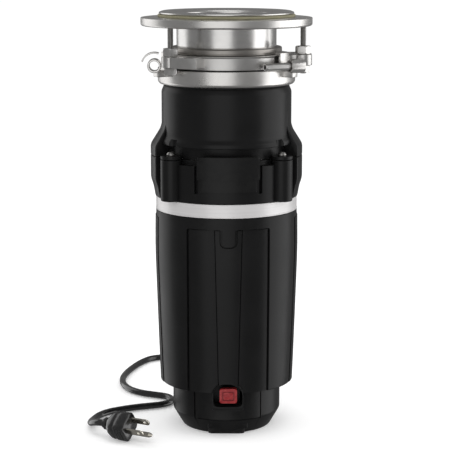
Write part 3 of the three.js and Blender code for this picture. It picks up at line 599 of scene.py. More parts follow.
def printedFoil(name, colour, edge):
    # satin foil with a faint brushed lay; its darker tone follows the lay
    made, tree, shader = startMaterial(name, Metallic=0.35)
    streaks = effect(tree, "turnedLines", Lines=2200.0, Around=1.2)
    smudge = effect(tree, "smudges", Scale=45.0)["Smudge"]
    body = mixColour(tree, rangeNode(tree, streaks["Fine"], 0.3, 0.7), edge, colour)
    link(tree, body, shader.inputs["Base Color"])
    link(tree, rangeNode(tree, smudge, 0.0, 1.0, 0.34, 0.44), shader.inputs["Roughness"])
    bump(tree, shader, streaks["Fine"], 0.08, 0.02)
    return made


def woundCopper(name, lacquer, shade):
    # enamelled wire in neat rows round the axis
    made, tree, shader = startMaterial(name, Metallic=0.9)
    rows = effect(tree, "turnedLines", Lines=1100.0, Around=14.0)
    wound = mixColour(tree, rangeNode(tree, rows["Fine"], 0.35, 0.65), shade, lacquer)
    link(tree, wound, shader.inputs["Base Color"])
    link(tree, rangeNode(tree, rows["Broad"], 0.3, 0.7, 0.28, 0.5), shader.inputs["Roughness"])
    bump(tree, shader, rows["Fine"], 0.6, 0.3)
    return made


case = ((0.0048, 0.0048, 0.005), (0.007, 0.007, 0.007))  # the black plastic, and its colour at rubbed corners, lighter also as a painted highlight
turnedRecipes = {
    "flangeSteel": ((0.80, 0.79, 0.775), (0.73, 0.72, 0.705), 0.22, 0.08),
    "ringSteel": ((0.80, 0.785, 0.765), (0.73, 0.715, 0.695), 0.27, 0.08, 1000.0),
    "collarMetal": ((0.40, 0.38, 0.355), (0.32, 0.305, 0.285), 0.34, 0.08, 1800.0, 0.3),
}
castRecipes = {
    "castZinc": ((0.72, 0.71, 0.695), (0.62, 0.61, 0.595), 0.34),
    "studSteel": ((0.42, 0.41, 0.395), (0.30, 0.295, 0.285), 0.36, 2200.0),
    "motorSteel": ((0.30, 0.30, 0.30), (0.20, 0.20, 0.205), 0.42),
    "bladeNickel": ((0.66, 0.63, 0.56), (0.55, 0.525, 0.46), 0.22, 900.0),
}
# the second colour of each is the one at rubbed corners, lighter also as a painted highlight
mouldedRecipes = {
    "casePlastic": (*case, 0.35),
    "satinPlastic": (*case, 0.33, 3200.0),
    "sealRubber": ((0.0055, 0.0055, 0.0055), (0.02, 0.02, 0.02), 0.62, 1500.0, 0.5, 0.5),
    "redPlastic": ((0.15, 0.005, 0.008), (0.26, 0.03, 0.03), 0.30, 2400.0, 0.1, 0.2, 0.2),
    "jacket": ((0.0075, 0.0075, 0.008), (0.02, 0.02, 0.02), 0.22, 1100.0, 0.2, 0.2, 0.5, 0.5),
}
finishes = {}
recipeSets = ((turnedMetal, turnedRecipes), (castMetal, castRecipes), (mouldedPlastic, mouldedRecipes))
for make, recipes in recipeSets:
    for name, recipe in recipes.items():
        finishes[name] = make(name, *recipe)
finishes["gasketFibre"] = pressedFibre("gasketFibre", (0.36, 0.34, 0.22), (0.14, 0.13, 0.085))
finishes["trimFoil"] = printedFoil("trimFoil", (0.66, 0.65, 0.65), (0.57, 0.56, 0.56))
finishes["copper"] = woundCopper("copper", (0.62, 0.24, 0.11), (0.30, 0.10, 0.045))
print("finishes made:", len(finishes))

# wrapped plates: flat outlines bent onto a turned surface
bendSettings = {"across": 2.2, "up": 16}  # how fine a flat outline is sliced before it is bent


def sliceEvery(bm, low, high, pitch, along):
    for i in range(1, math.ceil((high - low) / pitch)):
        whole = bm.verts[:] + bm.edges[:] + bm.faces[:]
        bmesh.ops.bisect_plane(bm, geom=whole, plane_co=along * (low + i * pitch), plane_no=along, dist=1e-4)


def wrapped(name, outline, inner, outer, facing, radiusAt, bevel=0.0, depthAt=None):
    # outline of (along, z) seen from outside; facing is the direction of its middle in degrees
    bm = bmesh.new()
    face = slab(bm, *([(x, depth, z) for x, z in outline] for depth in (outer, inner)))
    if bevel:
        roundEdges(bm, [e for e in bm.edges if e.verts[0] in face and e.verts[1] in face], bevel)
    spread = [x for x, z in outline]
    heights = [z for x, z in outline]
    sliceEvery(bm, min(spread), max(spread), bendSettings["across"], Vector((1, 0, 0)))
    sliceEvery(bm, min(heights), max(heights), bendSettings["up"], Vector((0, 0, 1)))
    for v in bm.verts:
        depth = v.co.y
        if depthAt and depth < (inner + outer) / 2:
            depth = depthAt(v.co.x, v.co.z)
        radius = radiusAt(v.co.z)
        angle = math.radians(facing) + v.co.x / radius
        v.co = Vector(((radius + depth) * math.cos(angle), (radius + depth) * math.sin(angle), v.co.z)) * mm
    bmesh.ops.triangulate(bm, faces=[f for f in bm.faces if len(f.verts) > 4])
    return finishMesh(name, bm)


def cylinder(name, radius, start, end, sides=40, rounding=0.0):
    # a round bar along Z
    return lathe(name, ringSection(0, radius, start, end, 0, rounding), sides)


def layAlongY(piece):
    return moved(piece, Matrix.Rotation(math.radians(-90), 4, "X"))


def barAlongY(name, radius, start, end, sides, x, z):
    return moved(layAlongY(cylinder(name, radius, start, end, sides)), shift(x, 0, z))


frontFacing = -90 + 1.6  # degrees; the moulded front is turned a little to one side

# motor skirt
skirtLow, skirtHigh = levels("motor_skirt")
skirtSettings = {
    "foot": 60.4, "belly": 64.7, "bellyShare": 0.76, "top": 64.3, "wall": 6.4,
    "recessTop": 192.2, "recessHalf": 39.2, "recessDepth": 1.1,
    "ribTop": 12.2, "ribFoot": 8.5, "channelShallow": 1.7, "channelDeep": 3.9,
    "tongueHalf": 6.8, "tongueFoot": 176.6, "tongueSeam": 1.3, "ribSeam": 1.4, "ribSeamDepth": 5.7,
    "sideTop": 196.5, "sideHalf": 18.6, "sideRise": 0.55, "sideSeam": 1.7, "sideSeamDepth": 2.6,
    "sideSeamOut": 0.8, "archRadius": 15.0, "archCentre": 36.5, "seam": 0.95, "seamDepth": 3.2, "pastFoot": 6,
}


def skirtRadius(z):
    s = skirtSettings
    belly = skirtLow + (skirtHigh - skirtLow) * s["bellyShare"]
    if z < belly:
        t = max(0.0, (z - skirtLow) / (belly - skirtLow))
        return s["foot"] + (s["belly"] - s["foot"]) * t ** 0.9
    t = (z - belly) / (skirtHigh - belly)
    return s["belly"] + (s["top"] - s["belly"]) * t * t


def skirtShell(s):
    heights = [skirtLow + (skirtHigh - skirtLow) * k / 16 for k in range(17)]
    outer = [(skirtRadius(z), z) for z in heights]
    inner = [(skirtRadius(z) - s["wall"], z) for z in reversed(heights)]
    outer[0] = (*outer[0], 0.9)
    outer[-1] = (*outer[-1], 0.6)
    return lathe("motor_shell", fillet(outer + inner))


def ribHalf(s, z):
    share = (z - skirtLow) / (s["recessTop"] - skirtLow)
    return s["ribFoot"] + (s["ribTop"] - s["ribFoot"]) * share


def channelDepth(s):
    # shallow at the recess's edge and deep beside the rib
    def depthAt(x, z):
        reach = (s["recessHalf"] - abs(x)) / (s["recessHalf"] - ribHalf(s, z))
        reach = max(0.0, min(1.0, reach))
        return -(s["channelShallow"] + (s["channelDeep"] - s["channelShallow"]) * reach ** 1.7)
    return depthAt


def skirtPockets(s, facing, withTongue):
    below = skirtLow - s["pastFoot"]
    half, top, tongue = s["recessHalf"], s["recessTop"], s["tongueHalf"]
    outline = [(-half, below), (half, below), (half, top, 2.2)]
    if withTongue:
        foot = s["tongueFoot"]
        outline += [(tongue, top, 1.2), (tongue, foot, 5.5), (-tongue, foot, 5.5), (-tongue, top, 1.2)]
    outline.append((-half, top, 2.2))
    cutters = [wrapped("recess", fillet(outline), -s["recessDepth"], 4, facing, skirtRadius)]
    for side in (-1, 1):
        low, high = ribHalf(s, below), ribHalf(s, top)
        corners = [(side * half, below), (side * low, below), (side * high, top - 0.4, 1.0),
                   (side * half, top - 0.01, 2.0)]
        if side > 0:
            corners.reverse()
        cutters.append(wrapped("channel", fillet(corners), -3, 4, facing, skirtRadius, 0, channelDepth(s)))
    return cutters + skirtSeams(s, facing, withTongue)


def strip(x0, z0, x1, z1, width):
    along = Vector((x1 - x0, z1 - z0)).normalized() * width / 2
    side = Vector((-along.y, along.x))
    start, end = Vector((x0, z0)), Vector((x1, z1))
    return [tuple(start - side), tuple(end - side), tuple(end + side), tuple(start + side)]


def skirtSeams(s, facing, withTongue):
    # narrow mould lines that frame the recess, its rib and the tongue
    w, rib, top = s["seam"], s["ribSeam"], s["recessTop"]
    below = skirtLow - s["pastFoot"]
    tongue, foot, side = s["tongueHalf"], s["tongueFoot"], s["tongueSeam"]
    outlines = []
    for turn in (-1, 1):
        edge = turn * (s["recessHalf"] - w / 2 + 0.13)
        outlines.append((strip(edge, below, edge, top - 1.2, w), s["seamDepth"]))
        low, high = turn * (ribHalf(s, below) + rib / 2 - 0.17), turn * (ribHalf(s, top) + rib / 2 - 0.17)
        outlines.append((strip(low, below, high, top - 0.5, rib), s["ribSeamDepth"]))
        level = top - w / 2 + 0.11
        across = strip(turn * (s["recessHalf"] - 0.5), level, turn * (tongue + side), level, w)
        outlines.append((across, s["seamDepth"]))
    if withTongue:
        out, inner, start = tongue + side, tongue - side, top - 0.3
        loop = fillet([(out, start), (out, foot - w, 6), (-out, foot - w, 6), (-out, start), (-inner, start),
                       (-inner, foot + 0.4, 4), (inner, foot + 0.4, 4), (inner, start)])
        outlines.append((loop, s["seamDepth"]))
    return [wrapped("seam", outline, -depth, 4, facing, skirtRadius) for outline, depth in outlines]


def sideSeams(s):
    # a mould line down each edge of the two side ribs
    made = []
    for facing in (0, 180):
        for turn in (-1, 1):
            edge = turn * (s["sideHalf"] + s["sideSeamOut"])
            outline = strip(edge, skirtLow - s["pastFoot"], edge, s["sideTop"], s["sideSeam"])
            made.append(wrapped("seam", outline, -s["sideSeamDepth"], 4, facing, skirtRadius))
    return made


def buildSkirt(s):
    shell = skirtShell(s)
    for facing in (0, 180):
        outline = plateOutline(-s["sideHalf"], s["sideHalf"], skirtLow + 0.4, s["sideTop"], 0, 3.0)
        shell = unite(shell, wrapped("side_rib", outline, -1.2, s["sideRise"], facing, skirtRadius, 0.35))
    cutters = skirtPockets(s, frontFacing, True) + skirtPockets(s, frontFacing + 180, False) + sideSeams(s)
    arch = barAlongY("arch", s["archRadius"], -80, -40, 64, middle("reset_button").x, s["archCentre"])
    return carve(shell, *cutters, arch)


motorShell = buildSkirt(skirtSettings)
onShow(motorShell, finishes["casePlastic"], "housing", "black_plastic", "motor_skirt")
print("motor shell built")

# trim band
bandLow, bandHigh = levels("silver_band")
bandRadius = halfWidth("silver_band")
bandSettings = {"wall": 4.0, "edge": 0.45, "inset": 0.25, "margin": 0.9}


def buildBand(s):
    out, face = bandRadius, bandRadius - s["inset"]
    low, high, margin = bandLow, bandHigh, s["margin"]
    outline = fillet([
        (out - s["wall"], low), (out, low, s["edge"]), (out, low + margin), (face, low + margin + 0.2),
        (face, high - margin - 0.2), (out, high - margin), (out, high, s["edge"]), (out - s["wall"], high)])
    return lathe("trim_band", outline)


onShow(buildBand(bandSettings), finishes["trimFoil"], "housing", "trim_band", "silver_band")

# joint housing
jointLow, jointHigh = levels("joint_housing")
jointSettings = {
    "bore": 54.7, "radius": 64.0, "neck": 58.0, "ledge": 4.0,
    "columns": (40, 140, 220, 320), "columnRadius": 9.5, "screwHole": 2.5, "screwDepth": 16,
    "bulge": 68.9, "bulgeHalf": 23.0, "bulgeFoot": 66.7,
    "plateHalf": 27.6, "plateTop": 256.4, "plateStep": 236.3, "plateFoot": 225.6, "plateRise": 2.4,
    "lowerHalf": 25.4, "lowerRise": 1.5, "grooveHalf": 1.7, "outletRadius": 16.3, "outletZ": 233.5,
    "bossWidth": 50.0, "bossFace": 70.0, "seat": 47.5, "seatTop": 247.0,
}


def columnAt(name, s, degrees, bottom, top, rounding=1.2):
    return standAt(cylinder(name, s["columnRadius"], bottom, top, 48, rounding), s["radius"], degrees)


def jointBulge(s, side):
    inner, low = s["bore"] + 2, jointLow
    outline = fillet([
        (inner, low), (s["radius"] + 0.9, low, 0.5), (s["bulgeFoot"], low + 10, 3), (s["bulge"], low + 16, 4),
        (s["bulge"], jointHigh, 1.4), (inner, jointHigh)])
    return soften(lathe("bulge", outline, 144, side - s["bulgeHalf"], 2 * s["bulgeHalf"]), 0.7, 60)


def buildJoint(s):
    bore, out, top, ledge = s["bore"], s["radius"], jointHigh, jointHigh - s["ledge"]
    body = lathe("joint_housing_shell", fillet([
        (bore - 1, jointLow), (out, jointLow, 0.6), (out, ledge, 1.0), (s["neck"], ledge, 0.6),
        (s["neck"], top, 0.5), (bore - 1, top)]))
    for side in (0, 180):
        body = unite(body, jointBulge(s, side))
    for degrees in s["columns"]:
        body = unite(body, columnAt("column", s, degrees, jointLow + 0.01, top))
    for half, low, high, rise, bevel in (
            (s["plateHalf"], s["plateStep"], s["plateTop"], s["plateRise"], 0.8),
            (s["lowerHalf"], s["plateFoot"], s["plateStep"] + 1, s["lowerRise"], 0.5)):
        outline = plateOutline(-half, half, low, high, 1.2, 1.5)
        body = unite(body, wrapped("plate", outline, -4.2, rise, frontFacing, lambda z: s["radius"], bevel))
    bossTop = top - 3
    boss = block("boss", s["bossWidth"], 34, bossTop - jointLow, 2.0)
    body = unite(body, moved(boss, shift(0, s["bossFace"] - 17, (bossTop + jointLow) / 2 + 0.02)))
    cutters = [cylinder("sump", bore, jointLow - 2, top + 6, 144)]
    for side in (-1, 1):
        edge = side * (s["plateHalf"] + s["grooveHalf"] + 0.1)
        outline = plateOutline(edge - s["grooveHalf"], edge + s["grooveHalf"], s["plateFoot"] - 2, top + 3, 1)
        cutters.append(wrapped("groove", outline, -3.4, 6, frontFacing, lambda z: s["radius"]))
    for degrees in s["columns"]:
        hole = cylinder("hole", s["screwHole"], top - s["screwDepth"], top + 2, 24)
        cutters.append(standAt(hole, s["radius"], degrees))
    mouth = ("mouth", s["outletRadius"], 20, 90, 64, 0, s["outletZ"])
    body = carve(body, *cutters, barAlongY(*mouth))
    seat = lathe("seat", ringSection(s["seat"], bore + 0.5, s["seatTop"] - 3, s["seatTop"], 0.5))
    return unite(body, carve(seat, barAlongY(*mouth)))


onShow(buildJoint(jointSettings), finishes["casePlastic"], "housing", "black_plastic", "joint_housing")
print("joint housing built")

# canister
canLow, canHigh = levels("canister")
canSettings = {
    "bore": 54.7, "radius": 58.8, "foot": 56.0, "rim": 62.3, "rimLow": 263.2, "rimHigh": 266.4,
    "blend": 273.0, "edge": 309.6, "crown": 315.3, "crownOuter": 55.6, "crownInner": 53.1, "shoulder": 311.5,
    "neck": 49.5, "lip": 56.0, "lipLow": 321.0, "throat": 44.0, "cone": 300.5,
    "bulge": 68.9, "bulgeHalf": 23.0, "bulgeEdge": 261.5, "bulgeTop": 276.0, "lug": 3.0,
    "pocket": 5.6, "screwHole": 2.6, "inletZ": 288.3, "inlet": 9.5, "inletBore": 6.0, "inletEnd": 84.0,
}


def canisterShell(s):
    foot, rim, radius, crown, neck, lip = s["foot"], s["rim"], s["radius"], s["crown"], s["neck"], s["lip"]
    return lathe("canister_shell", fillet([
        (s["bore"], canLow), (foot, canLow, 0.4), (foot, s["rimLow"], 0.6), (rim, s["rimLow"], 0.8),
        (rim, s["rimHigh"], 1.6), (radius + 0.7, s["blend"] - 2, 3), (radius, s["blend"] + 4, 4),
        (radius, s["edge"], 1.2), (s["crownOuter"] + 1.2, crown - 0.9, 1.4), (s["crownOuter"], crown, 1.0),
        (s["crownInner"], crown, 0.5), (s["crownInner"], s["shoulder"], 0.3), (neck, s["shoulder"], 0.8),
        (neck, s["lipLow"], 0.6), (lip, s["lipLow"], 0.5), (lip, canHigh, 1.0), (s["throat"], canHigh, 1.0),
        (s["throat"], s["shoulder"] - 1), (s["bore"], s["cone"])]), 160)


def canisterBulge(s, side):
    outline = fillet([
        (s["bore"] + 1, canLow), (s["bulge"], canLow, 1.0), (s["bulge"], s["bulgeEdge"], 2.6),
        (s["radius"] + 1.0, s["bulgeTop"], 4.0), (s["radius"] - 0.5, s["bulgeTop"] + 7),
        (s["bore"] + 1, s["bulgeTop"])])
    return soften(lathe("bulge", outline, 160, side - s["bulgeHalf"], 2 * s["bulgeHalf"]), 1.4, 60, 3)


def inletSpout(s):
    # the dishwasher inlet, with three barbs for a hose
    barb, root = s["inlet"], s["bore"] + 1
    spout = [(s["inletBore"] + 0.4, root), (barb + 3, root), (barb + 3, 62, 1.5), (barb, 63.5, 1)]
    for k in range(3):
        y = 66 + 5.4 * k
        spout += [(barb - 0.7, y), (barb, y + 3.6, 0.3), (barb - 0.7, y + 4.4)]
    spout += [(barb - 0.9, s["inletEnd"], 0.5), (s["inletBore"], s["inletEnd"], 0.4)]
    return moved(layAlongY(lathe("nozzle", fillet(spout), 48)), shift(0, 0, s["inletZ"]))


def buildCanister(s):
    body = canisterShell(s)
    for side in (0, 180):
        body = unite(body, canisterBulge(s, side))
    lugTop = canLow + s["lug"]
    cutters = []
    for degrees in jointSettings["columns"]:
        lug = columnAt("lug", jointSettings, degrees, canLow, lugTop, 0.6)
        body = unite(body, carve(lug, cylinder("bore", s["bore"] + 0.2, canLow - 1, lugTop + 1, 144)))
        pocket = cylinder("pocket", s["pocket"], lugTop, lugTop + 14, 32, 0.6)
        hole = cylinder("hole", s["screwHole"], canLow - 2, lugTop + 1, 24)
        cutters += [standAt(cut, jointSettings["radius"], degrees) for cut in (pocket, hole)]
    body = unite(body, inletSpout(s))
    return carve(body, *cutters, barAlongY("bore", s["inletBore"], 40, 90, 40, 0, s["inletZ"]))


onShow(buildCanister(canSettings), finishes["satinPlastic"], "housing", "black_plastic", "canister")
print("canister built")

# lower cap
capLow, capHigh = levels("lower_cap")
capSettings = {
    "radius": 49.5, "foot": 40.5, "chamfer": 15.2, "wall": 3.0, "floor": 9.0, "boss": 12.0,
    "panelHalf": 30.6, "panelTop": 49.6, "panelRise": 1.3, "groove": 1.1,
    "footIn": 24.0, "footOut": 43.6, "footWidth": 36.0, "footTop": 12.0, "feet": (-88.5, 30, 150),
    "hoodHalf": 14.0, "hoodTop": 51.5, "hoodRise": 8.6, "tunnelHalf": 13.2, "tunnelLow": 29.6,
    "tunnelHigh": 50.7, "reliefX": 24, "reliefZ": 26,
}


def capHood(s):
    # the reset button's frame and the tunnel through it, both stood up at the front
    x, y = middle("reset_button").x + 1.2, 4 - s["radius"]
    turned = Matrix(((1, 0, 0, x), (0, 0, -1, y), (0, 1, 0, 0), (0, 0, 0, 1)))
    hood, tunnel = s["hoodHalf"], s["tunnelHalf"]
    hood = prism("hood", plateOutline(-hood, hood, 26, s["hoodTop"], 2, 13), 0, s["hoodRise"] + 4, 0.9)
    mouth = plateOutline(-tunnel, tunnel, s["tunnelLow"], s["tunnelHigh"], 5, 12.4)
    return moved(hood, turned), moved(prism("tunnel", mouth, -14, 20), turned)


def buildCap(s):
    out, low, high, inner = s["radius"], capLow, capHigh, s["radius"] - s["wall"]
    body = lathe("lower_cap_shell", fillet([
        (0, low), (s["foot"], low, 1.2), (out, s["chamfer"], 1.5), (out, high, 0.8), (inner, high),
        (inner, s["floor"] + 4, 3), (0, s["floor"])]))
    body = unite(body, cylinder("boss", s["boss"], 0.05, low + 2, 48, 0.8))
    width = s["footOut"] - s["footIn"]
    padLow, padHigh = 5.0, s["footTop"]
    padPlace = shift(s["footIn"] + width / 2, 0, (padHigh + padLow) / 2)
    for degrees in s["feet"]:
        pad = block("pad", width, s["footWidth"], padHigh - padLow, 1.2)
        body = unite(body, moved(pad, padPlace, turnZ(degrees)))
    half, groove, foot = s["panelHalf"], s["groove"], s["chamfer"]
    panel = plateOutline(-half, half, foot + 0.2, s["panelTop"], 0.8, 1)
    body = unite(body, wrapped("panel", panel, -1.6, s["panelRise"], frontFacing, lambda z: out, 0.5))
    hood, tunnel = capHood(s)
    body = unite(body, hood)
    cutters = []
    for side in (-1, 1):
        edge = side * (half + groove)
        outline = plateOutline(edge - groove, edge + groove, foot - 3, high + 2)
        cutters.append(wrapped("groove", outline, -1.5, 5, frontFacing, lambda z: out))
    seam = plateOutline(-half, half, foot - 1.2, foot + 0.2)
    cutters.append(wrapped("seam", seam, -1.4, 5, frontFacing, lambda z: out))
    body = carve(body, *cutters, tunnel)
    rear = moved(block("rear_boss", 26, 14, 26, 2.0), shift(s["reliefX"], out - 8, s["reliefZ"]))
    return unite(body, carve(rear, cylinder("hollow", inner, 0, 60, 96)))


def buildFoot(number):
    low, high = levels(f"foot_{number}")
    centre = middle(f"foot_{number}")
    pad = prism(f"foot_pad_{number}", plateOutline(-7.6, 7.6, -16.6, 16.6, 3, 3), low, high, 0.7)
    treads = [moved(block("tread", 1.2, 26, 1.6, 0.2), shift(x, 0, low)) for x in (-4, 0, 4)]
    degrees = math.degrees(math.atan2(centre.y, centre.x))
    return moved(carve(pad, *treads), shift(centre.xy.length, 0, 0), turnZ(degrees))


onShow(buildCap(capSettings), finishes["casePlastic"], "housing", "black_plastic", "lower_cap")
for number in (1, 2, 3):
    onShow(buildFoot(number), finishes["sealRubber"], "housing", "black_rubber", f"foot_{number}")
print("cap and feet built")

# reset button
buttonSettings = {
    "narrower": 1.0, "lower": 1.2, "aside": 1.6, "up": 1.4, "rounding": 1.9, "plate": 6.5, "dish": 0.9,
}


def buildButton(s):
    low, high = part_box("reset_button")
    centre = middle("reset_button")
    wide = ((high.x - low.x) / mm - s["narrower"]) / 2
    tall = ((high.z - low.z) / mm - s["lower"]) / 2
    steps = {}
    for name, inset, rounding in (("key", 0, s["rounding"]), ("dish", 2.4, 1.2), ("crown", 3.3, 1.0)):
        steps[name] = plateOutline(inset - wide, wide - inset, inset - tall, tall - inset, rounding, rounding)
    key = prism("reset_key", steps["key"], -s["plate"], 0, 0.7, 4)
    key = carve(key, prism("dish", steps["dish"], -s["dish"], 2))
    key = unite(key, prism("crown", steps["crown"], -2, -0.25, 0.4))
    depth = (high.y - low.y) / mm - 6
    key = unite(key, moved(block("stem", 8, 8, depth, 0.6), shift(0, 0, -6 - depth / 2 + 0.01)))
    outward = Matrix(((1, 0, 0, centre.x + s["aside"]), (0, 0, -1, low.y / mm), (0, 1, 0, centre.z + s["up"]),
                      (0, 0, 0, 1)))
    return moved(key, outward)


onShow(buildButton(buttonSettings), finishes["redPlastic"], "reset_button", "red_plastic", "reset_button")

# sink flange, gasket and support ring
mountSettings = {"sleeve": 45.0, "wall": 1.8, "rim": 61.0, "gasketEdge": 62.0, "support": 77.2, "seat": 62.3}


def buildSinkMount(s):
    low, high = levels("sink_flange")
    ringLow, ringHigh = levels("backup_ring")
    padLow, padHigh = levels("sink_gasket")
    out, wall, rim, edge = s["sleeve"], s["wall"], s["rim"], s["gasketEdge"] - 0.1
    flange = lathe("sink_flange_steel", fillet([
        (out - wall - 0.2, low, 0.5), (out, low, 0.5), (out, padHigh + 0.3, 0.5),
        (rim - 0.5, padHigh + 0.3, 0.4), (rim, high - 1.5, 1.0), (rim - 3.5, high, 1.6),
        (out + 6.5, high - 0.7, 3.0), (out - wall + 0.2, padHigh - 4, 4.0), (out - wall, padHigh - 9)]))
    pad = lathe("flange_gasket", ringSection(out + 0.3, edge, padLow, padHigh, 0, 0.6))
    wide, seat, foot = s["support"], s["seat"], padLow - 0.02
    ring = lathe("support_ring", fillet([
        (out + 0.5, ringLow, 0.4), (wide - 1.2, ringLow, 0.8), (wide, ringLow + 1.2, 0.8),
        (wide, ringHigh - 0.6, 0.6), (seat, ringHigh, 0.2), (seat, foot), (out + 0.5, foot, 0.4)]), 160)
    onShow(flange, finishes["flangeSteel"], "housing", "brushed_steel", "sink_flange")
    onShow(pad, finishes["gasketFibre"], "housing", "gasket_fibre", "sink_gasket")
    onShow(ring, finishes["ringSteel"], "housing", "brushed_steel", "backup_ring")


buildSinkMount(mountSettings)

# upper mounting ring, its studs and nuts
upperSettings = {
    "low": 331.0, "high": 343.3, "wall": 2.2, "radius": 57.0, "lip": 47.5, "studCircle": 70.3,
    "boss": 8.0, "bossLow": 333.5, "hole": 3.0, "strapSweep": 24.0, "strapWall": 2.4, "webTop": 347.0,
}
studAngles = (226, 346, 106)


def studLug(s, degrees):
    # the boss that a stud passes, its bridge to the ring, and the strap that sweeps back to the ring
    low, high, out, circle = s["bossLow"], s["high"], s["radius"], s["studCircle"]
    boss = standAt(cylinder("boss", s["boss"], low, high, 48, 1.0), circle, degrees)
    bridge = block("bridge", circle - out + 5, 12.5, high - low, 1.0)
    bridge = moved(bridge, shift((circle + out - 5) / 2, 0, (high + low) / 2), turnZ(degrees))
    inner = circle + s["boss"] - 4.2
    outline = ringSection(inner, inner + s["strapWall"], low + 0.2, high - 0.2, 0.5, 0.5)
    strap = lathe("strap", outline, 160, degrees, s["strapSweep"])
    web = block("web", inner - out + 3.6, 2.6, s["webTop"] - low - 3.6, 0.5)
    place = shift((inner + out) / 2 + 0.4, 0, (s["webTop"] - 3.8 + low) / 2 + 0.3)
    return boss, bridge, strap, moved(web, place, turnZ(degrees + s["strapSweep"] - 1.6))


def buildUpperRing(s):
    low, high, out, inner, lip = s["low"], s["high"], s["radius"], s["radius"] - s["wall"], s["lip"]
    ring = lathe("upper_ring", fillet([
        (inner, low, 0.6), (out, low, 0.6), (out, high - 1.5, 0.5), (out + 1.0, high, 0.6), (lip, high, 0.6),
        (lip, high - 2.2, 0.6), (inner, high - 2.2, 0.4)]))
    for degrees in studAngles:
        ring = unite(ring, *studLug(s, degrees))
    for degrees in studAngles:
        ring = carve(ring, standAt(cylinder("hole", s["hole"], 325, 350, 24), s["studCircle"], degrees))
    return ring


def threaded(name, radius, low, high, pitch, depth, sides=20):
    # a bar with one continuous helical groove
    rows = []
    steps = round((high - low) / pitch * 6)
    for j in range(steps + 1):
        z = low + (high - low) * j / steps
        chamfer = 0.5 if j in (0, steps) else 0
        row = []
        for i in range(sides):
            phase = ((z - low) / pitch - i / sides) % 1.0
            cut = depth * (1 - abs(2 * phase - 1)) * min(1.0, z - low)
            angle = 2 * math.pi * i / sides
            r = radius - cut - chamfer
            row.append((r * math.cos(angle), r * math.sin(angle), z))
        rows.append(row)
    return skin(name, rows, 50)


def hexNut(name, radius, low, high, hole, turn):
    corners = [around(radius, 60 * k + turn).xy for k in range(6)]
    chamfer, out = radius * 0.87, radius + 0.1
    guard = lathe("guard", [(0, low), (chamfer, low), (out, low + 1.1), (out, high - 1.1), (chamfer, high),
                            (0, high)], 48)
    nut = solidOp(prism(name, corners, low, high), [guard], "INTERSECT")
    return soften(carve(nut, cylinder("bore", hole, low - 1, high + 1, 28)), 0.18)


onShow(buildUpperRing(upperSettings), finishes["castZinc"], "housing", "brushed_steel", "upper_mounting_ring")
for number, degrees in enumerate(studAngles, 1):
    stud = threaded(f"threaded_stud_{number}", 2.7, *levels(f"stud_{number}"), 1.15, 0.42)
    stud = standAt(stud, upperSettings["studCircle"], degrees)
    onShow(stud, finishes["studSteel"], "housing", "dark_steel", f"stud_{number}")
    for kind, radius in (("clamp", 7.2), ("lock", 6.3)):
        low, high = levels(f"{kind}_nut_{number}")
        nut = hexNut(f"{kind}_hex_{number}", radius, low, high, 2.75, 12 + 17 * number)
        nut = standAt(nut, upperSettings["studCircle"], degrees)
        onShow(nut, finishes["castZinc"], "housing", "brushed_steel", f"{kind}_nut_{number}")
print("sink mount built")

# collar, snap ring, mounting gasket and splash guard
sealSettings = {"collarBore": 45.3, "collar": 50.0, "rivetTurn": -103, "neck": 49.8}
guardSettings = {"hole": 15, "bend": 36, "flaps": 8, "slit": 0.7}


def buildCollar(s):
    low, high = levels("collar_seal")
    bore, out = s["collarBore"], s["collar"]
    collar = lathe("throat_collar", fillet([
        (bore, low), (out - 0.3, low, 0.6), (out - 0.3, low + 1.4), (out, low + 1.6), (out, high - 1.0, 0.6),
        (out - 0.8, high, 0.6), (bore, high)]))
    rivet = lathe("rivet", fillet([(0, -0.5), (1.1, -0.5), (1.1, 0.1, 0.2), (0.5, 0.3, 0.1), (0, 0.32)]), 24)
    rivet = moved(rivet, turnY(90), shift(out - 0.3, 0, (low + high) / 2), turnZ(s["rivetTurn"]))
    return combine(collar, rivet)


def buildSnapRing():
    low, high = levels("snap_ring")
    wire = (high - low) / 2
    centre = Vector((halfWidth("snap_ring") - wire, (low + high) / 2))
    return lathe("retaining_ring", [centre + around(wire, a).xy for a in range(0, 360, 20)], 144, 68, 350)


def buildNeckSeal(s):
    low, high = levels("mounting_gasket")
    outer = halfWidth("mounting_gasket")
    return lathe("neck_seal", fillet([
        (s["neck"], low, 0.4), (outer, low, 0.8), (outer, high, 1.2), (outer - 2.4, high, 0.5),
        (outer - 2.4, high - 0.9, 0.4), (s["neck"], high - 0.9, 0.5)]))


def buildSplashGuard(s):
    low, high = levels("splash_guard")
    outer, hole, bend = halfWidth("splash_guard"), s["hole"], s["bend"]
    guard = lathe("splash_baffle", fillet([
        (hole, low + 0.6, 0.3), (bend, low + 2.6, 2), (outer - 3, high - 1.8, 1),
        (outer - 0.2, high - 1.8, 0.5), (outer - 0.2, high, 0.6), (outer - 4, high, 1), (bend, low + 4.6, 2),
        (hole, low + 2.0, 0.4)]), 120)
    slits = []
    for k in range(s["flaps"]):
        turn = 360 / s["flaps"] * (k + 0.5)
        slits.append(moved(block("slit", 28, s["slit"], 20, 0), shift(28.5, 0, low), turnZ(turn)))
    return carve(guard, *slits)


onShow(buildCollar(sealSettings), finishes["collarMetal"], "housing", "black_rubber", "collar_seal")
onShow(buildSnapRing(), finishes["studSteel"], "housing", "dark_steel", "snap_ring")
onShow(buildNeckSeal(sealSettings), finishes["sealRubber"], "housing", "black_rubber", "mounting_gasket")
onShow(buildSplashGuard(guardSettings), finishes["sealRubber"], "housing", "black_rubber", "splash_guard")

